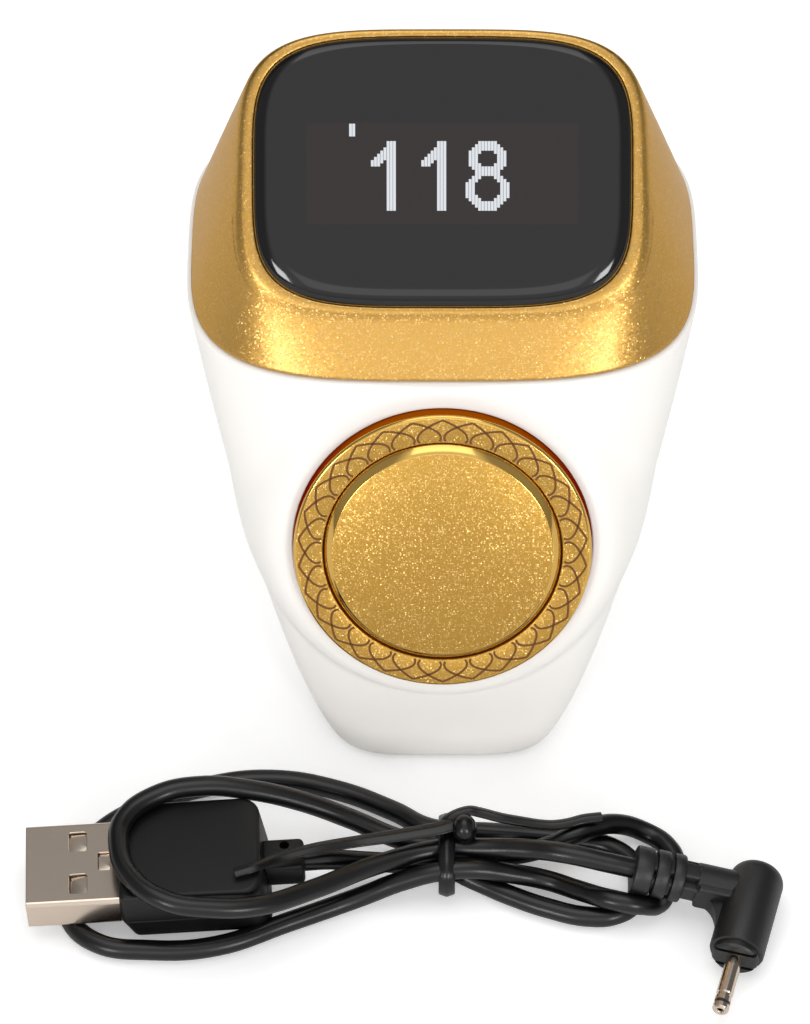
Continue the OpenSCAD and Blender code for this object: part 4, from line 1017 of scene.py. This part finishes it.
# twist tie: a plastic strip with a wire down its middle, round the bundle and knotted on top
tieShape = {
    "middle": (0.5, -36.3, 3.5), "half": (5.65, 3.15), "square": 2.7, "turns": 40,
    "backDrop": 0.75, "backLow": 1.3, "backCurve": 1.5, "frontLift": 1.5, "tableGap": 0.35,
    "bandWidth": 2, "leftWidth": 2.2, "leftTip": 0.6, "rightWidth": 1.45,
    "stripThick": 0.75, "stripSquare": 2.2, "stripTurns": 24, "ridge": 0.14, "ridgeWidth": 0.3,
    "leftTail": [(3.3, -35.4, 7.1), (1.6, -35.7, 7.9), (-0.8, -36.6, 8), (-5.9, -37.5, 7.8),
        (-9.9, -38.3, 7.9), (-15.1, -40.02, 8.8), (-19.6, -41.88, 9.3),
        (-22.31, -43.83, 10.22), (-24.69, -44.66, 10.14)],
    "rightTail": [(-0.6, -36.1, 6.8), (0.9, -34.9, 8), (3, -34.1, 8.3), (4.5, -34.1, 8),
        (6.9, -34.5, 7.5), (9.3, -34.6, 6.9), (11.7, -34.7, 6.4), (13.5, -34.65, 6.2),
        (15.3, -34.4, 6.3), (17.1, -33.9, 6.4), (19.2, -33.6, 6.4)],
    "knotPlace": (2.6, -36.2, 7.4), "knotRadius": 1.85, "knotStretch": (0.85, 0.95, 1.1),
    # the knot's fold: how deep, how wide, and how far it leans
    "fold": (0.12, 0.22, 0.25),
}


def stripSection(s, wide):
    points = []
    for a in wholeTurn(s["stripTurns"], 0.5):
        r = superRadius(a, s["stripSquare"])
        x = wide / 2 * r * cos(a)
        ridge = s["ridge"] * exp(-(x / s["ridgeWidth"]) ** 2)
        points.append((x, r * sin(a) * (s["stripThick"] / 2 + ridge)))
    return points


def makeTie(s):
    half = s["half"]
    x, y, z = s["middle"]
    loop = []
    for a in wholeTurn(s["turns"], 0.5):
        reach = superRadius(a, s["square"])
        back = max(cos(a), 0)
        # the bundle is lower at its back, and its front strand lies higher
        lower = 1 - s["backDrop"] * back * (sin(a) > 0)
        height = z + half[1] * reach * sin(a) * lower - s["backLow"] * back ** s["backCurve"]
        least = s["tableGap"] - s["frontLift"] * min(cos(a), 0)
        loop.append(Vector((x, y + half[0] * reach * cos(a), max(height, least))))
    section = stripSection(s, s["bandWidth"])
    rows = []
    for i, spot in enumerate(loop):
        ahead = (loop[(i + 1) % len(loop)] - loop[i - 1]).normalized()
        out = ahead.cross(Vector((1, 0, 0)))
        rows.append([spot + Vector((across, 0, 0)) + out * up for across, up in section])
    tie = growSkin(rows + rows[:1], closed=True)
    for tail, wide, tip in ((s["leftTail"], s["leftWidth"], s["leftTip"]),
            (s["rightTail"], s["rightWidth"], 1)):
        path = smoothPath(tail, 6)
        rows = sweepRows(path, stripSection(s, wide))
        rows = [[spot + (p - spot) * mix(1, tip, i / (len(path) - 1)) for p in row]
                for i, (spot, row) in enumerate(zip(path, rows))]
        joinInto(tie, growSkin(rows))
    knot = bmesh.new()
    bmesh.ops.create_uvsphere(knot, u_segments=24, v_segments=16, radius=s["knotRadius"])
    depth, width, slant = s["fold"]
    for vert in knot.verts:
        # folded over itself: a shallow crease runs round it
        vert.co *= 1 - depth * exp(-((vert.co.z - slant * vert.co.y) / width) ** 2)
    bmesh.ops.scale(knot, vec=s["knotStretch"], verts=knot.verts)
    joinInto(tie, moved(knot, shifted(*s["knotPlace"])))
    return finishMesh(tie, "twistTie", [tiePvc], sharp=60, slot="tie_pvc", stands="twist_tie")


usbPieces = makeUsbPlug(usbShape)
roundPieces = makeRoundPlug(roundPlugShape)
tiePiece = makeTie(tieShape)
print("plugs and tie made")

# studio: pale floor, white surroundings, four softboxes; sizes in metres, power in watts
studio = {
    "floor": 6, "floorColour": "#F2F2F2", "floorGlow": 0.3, "sky": 0.67, "aim": (0, 0, 0.04),
    # what shiny pieces reflect, by direction: axis, from, to, strength there and there
    "reflected": [("Z", 0, 0.25, 0.72, 1), ("Y", 0, 0.35, 1, 0.34), ("X", 0.33, 0.5, 1, 0.38)],
    # name, place, size, power
    "softboxes": [("leftBox", (-0.52, -0.98, 0.38), (0.24, 0.28), 2.9),
        ("rightBox", (0.52, -0.98, 0.38), (0.24, 0.28), 2.9),
        ("frontBox", (0, -1.1, 0.62), (0.5, 0.35), 0.45),
        ("topBox", (0, 0.1, 1.1), (0.8, 0.8), 2.65)],
}


def emptyTree(owner):
    owner.use_nodes = True
    owner.node_tree.nodes.clear()
    return owner.node_tree


def makeFloor(s):
    material = bpy.data.materials.new("studioFloor")
    tree = emptyTree(material)
    matt = addNode(tree, "BsdfDiffuse", {"Color": fromHex(s["floorColour"])})
    ray = addNode(tree, "LightPath")
    glow = addNode(tree, "Math", {"operation": "MULTIPLY", 1: s["floorGlow"]},
            {0: ray.outputs["Is Camera Ray"]})
    lit = addNode(tree, "Emission", {}, {"Strength": glow})
    both = addNode(tree, "AddShader", {}, {0: matt, 1: lit})
    addNode(tree, "OutputMaterial", {}, {"Surface": both})
    floor = addObject("studioFloor", toMesh(addSquare(bmesh.new(), s["floor"]), "studioFloor"))
    floor.data.materials.append(material)


def makeSky(s):
    # reflected it is darker low down, behind and far to the sides, as in a light tent
    scene.world = bpy.data.worlds.new("studioSky")
    tree = emptyTree(scene.world)
    ray = addNode(tree, "LightPath")
    way = addNode(tree, "TexCoord")
    split = addNode(tree, "SeparateXYZ", {}, {0: way.outputs["Generated"]})
    dim = None
    for axis, low, high, start, end in s["reflected"]:
        source = split.outputs[axis]
        if axis == "X":
            source = addNode(tree, "Math", {"operation": "ABSOLUTE"}, {0: source})
        share = addNode(tree, "MapRange", {"From Min": low, "From Max": high,
                "To Min": start, "To Max": end}, {"Value": source})
        if dim:
            share = addNode(tree, "Math", {"operation": "MULTIPLY"}, {0: share, 1: dim})
        dim = share
    seen = addNode(tree, "Math", {"operation": "MAXIMUM"},
            {0: ray.outputs["Is Glossy Ray"], 1: ray.outputs["Is Transmission Ray"]})
    white = {"Color": (1, 1, 1, 1)}
    soft = addNode(tree, "Background", {**white, "Strength": s["sky"]})
    shiny = addNode(tree, "Background", white, {"Strength": dim})
    plain = addNode(tree, "Background", {**white, "Strength": 1})
    first = addNode(tree, "MixShader", {}, {0: seen, 1: soft, 2: shiny})
    last = addNode(tree, "MixShader", {}, {0: ray.outputs["Is Camera Ray"], 1: first, 2: plain})
    addNode(tree, "OutputWorld", {}, {"Surface": last})


def makeSoftboxes(s):
    for name, place, size, power in s["softboxes"]:
        data = bpy.data.lights.new(name, "AREA")
        data.shape = "RECTANGLE"
        data.size, data.size_y = size
        data.energy = power
        light = addObject(name, data)
        light.location = place
        toward = Vector(s["aim"]) - Vector(place)
        light.rotation_euler = toward.to_track_quat("-Z", "Y").to_euler()


makeFloor(studio)
makeSky(studio)
makeSoftboxes(studio)
print("studio made")
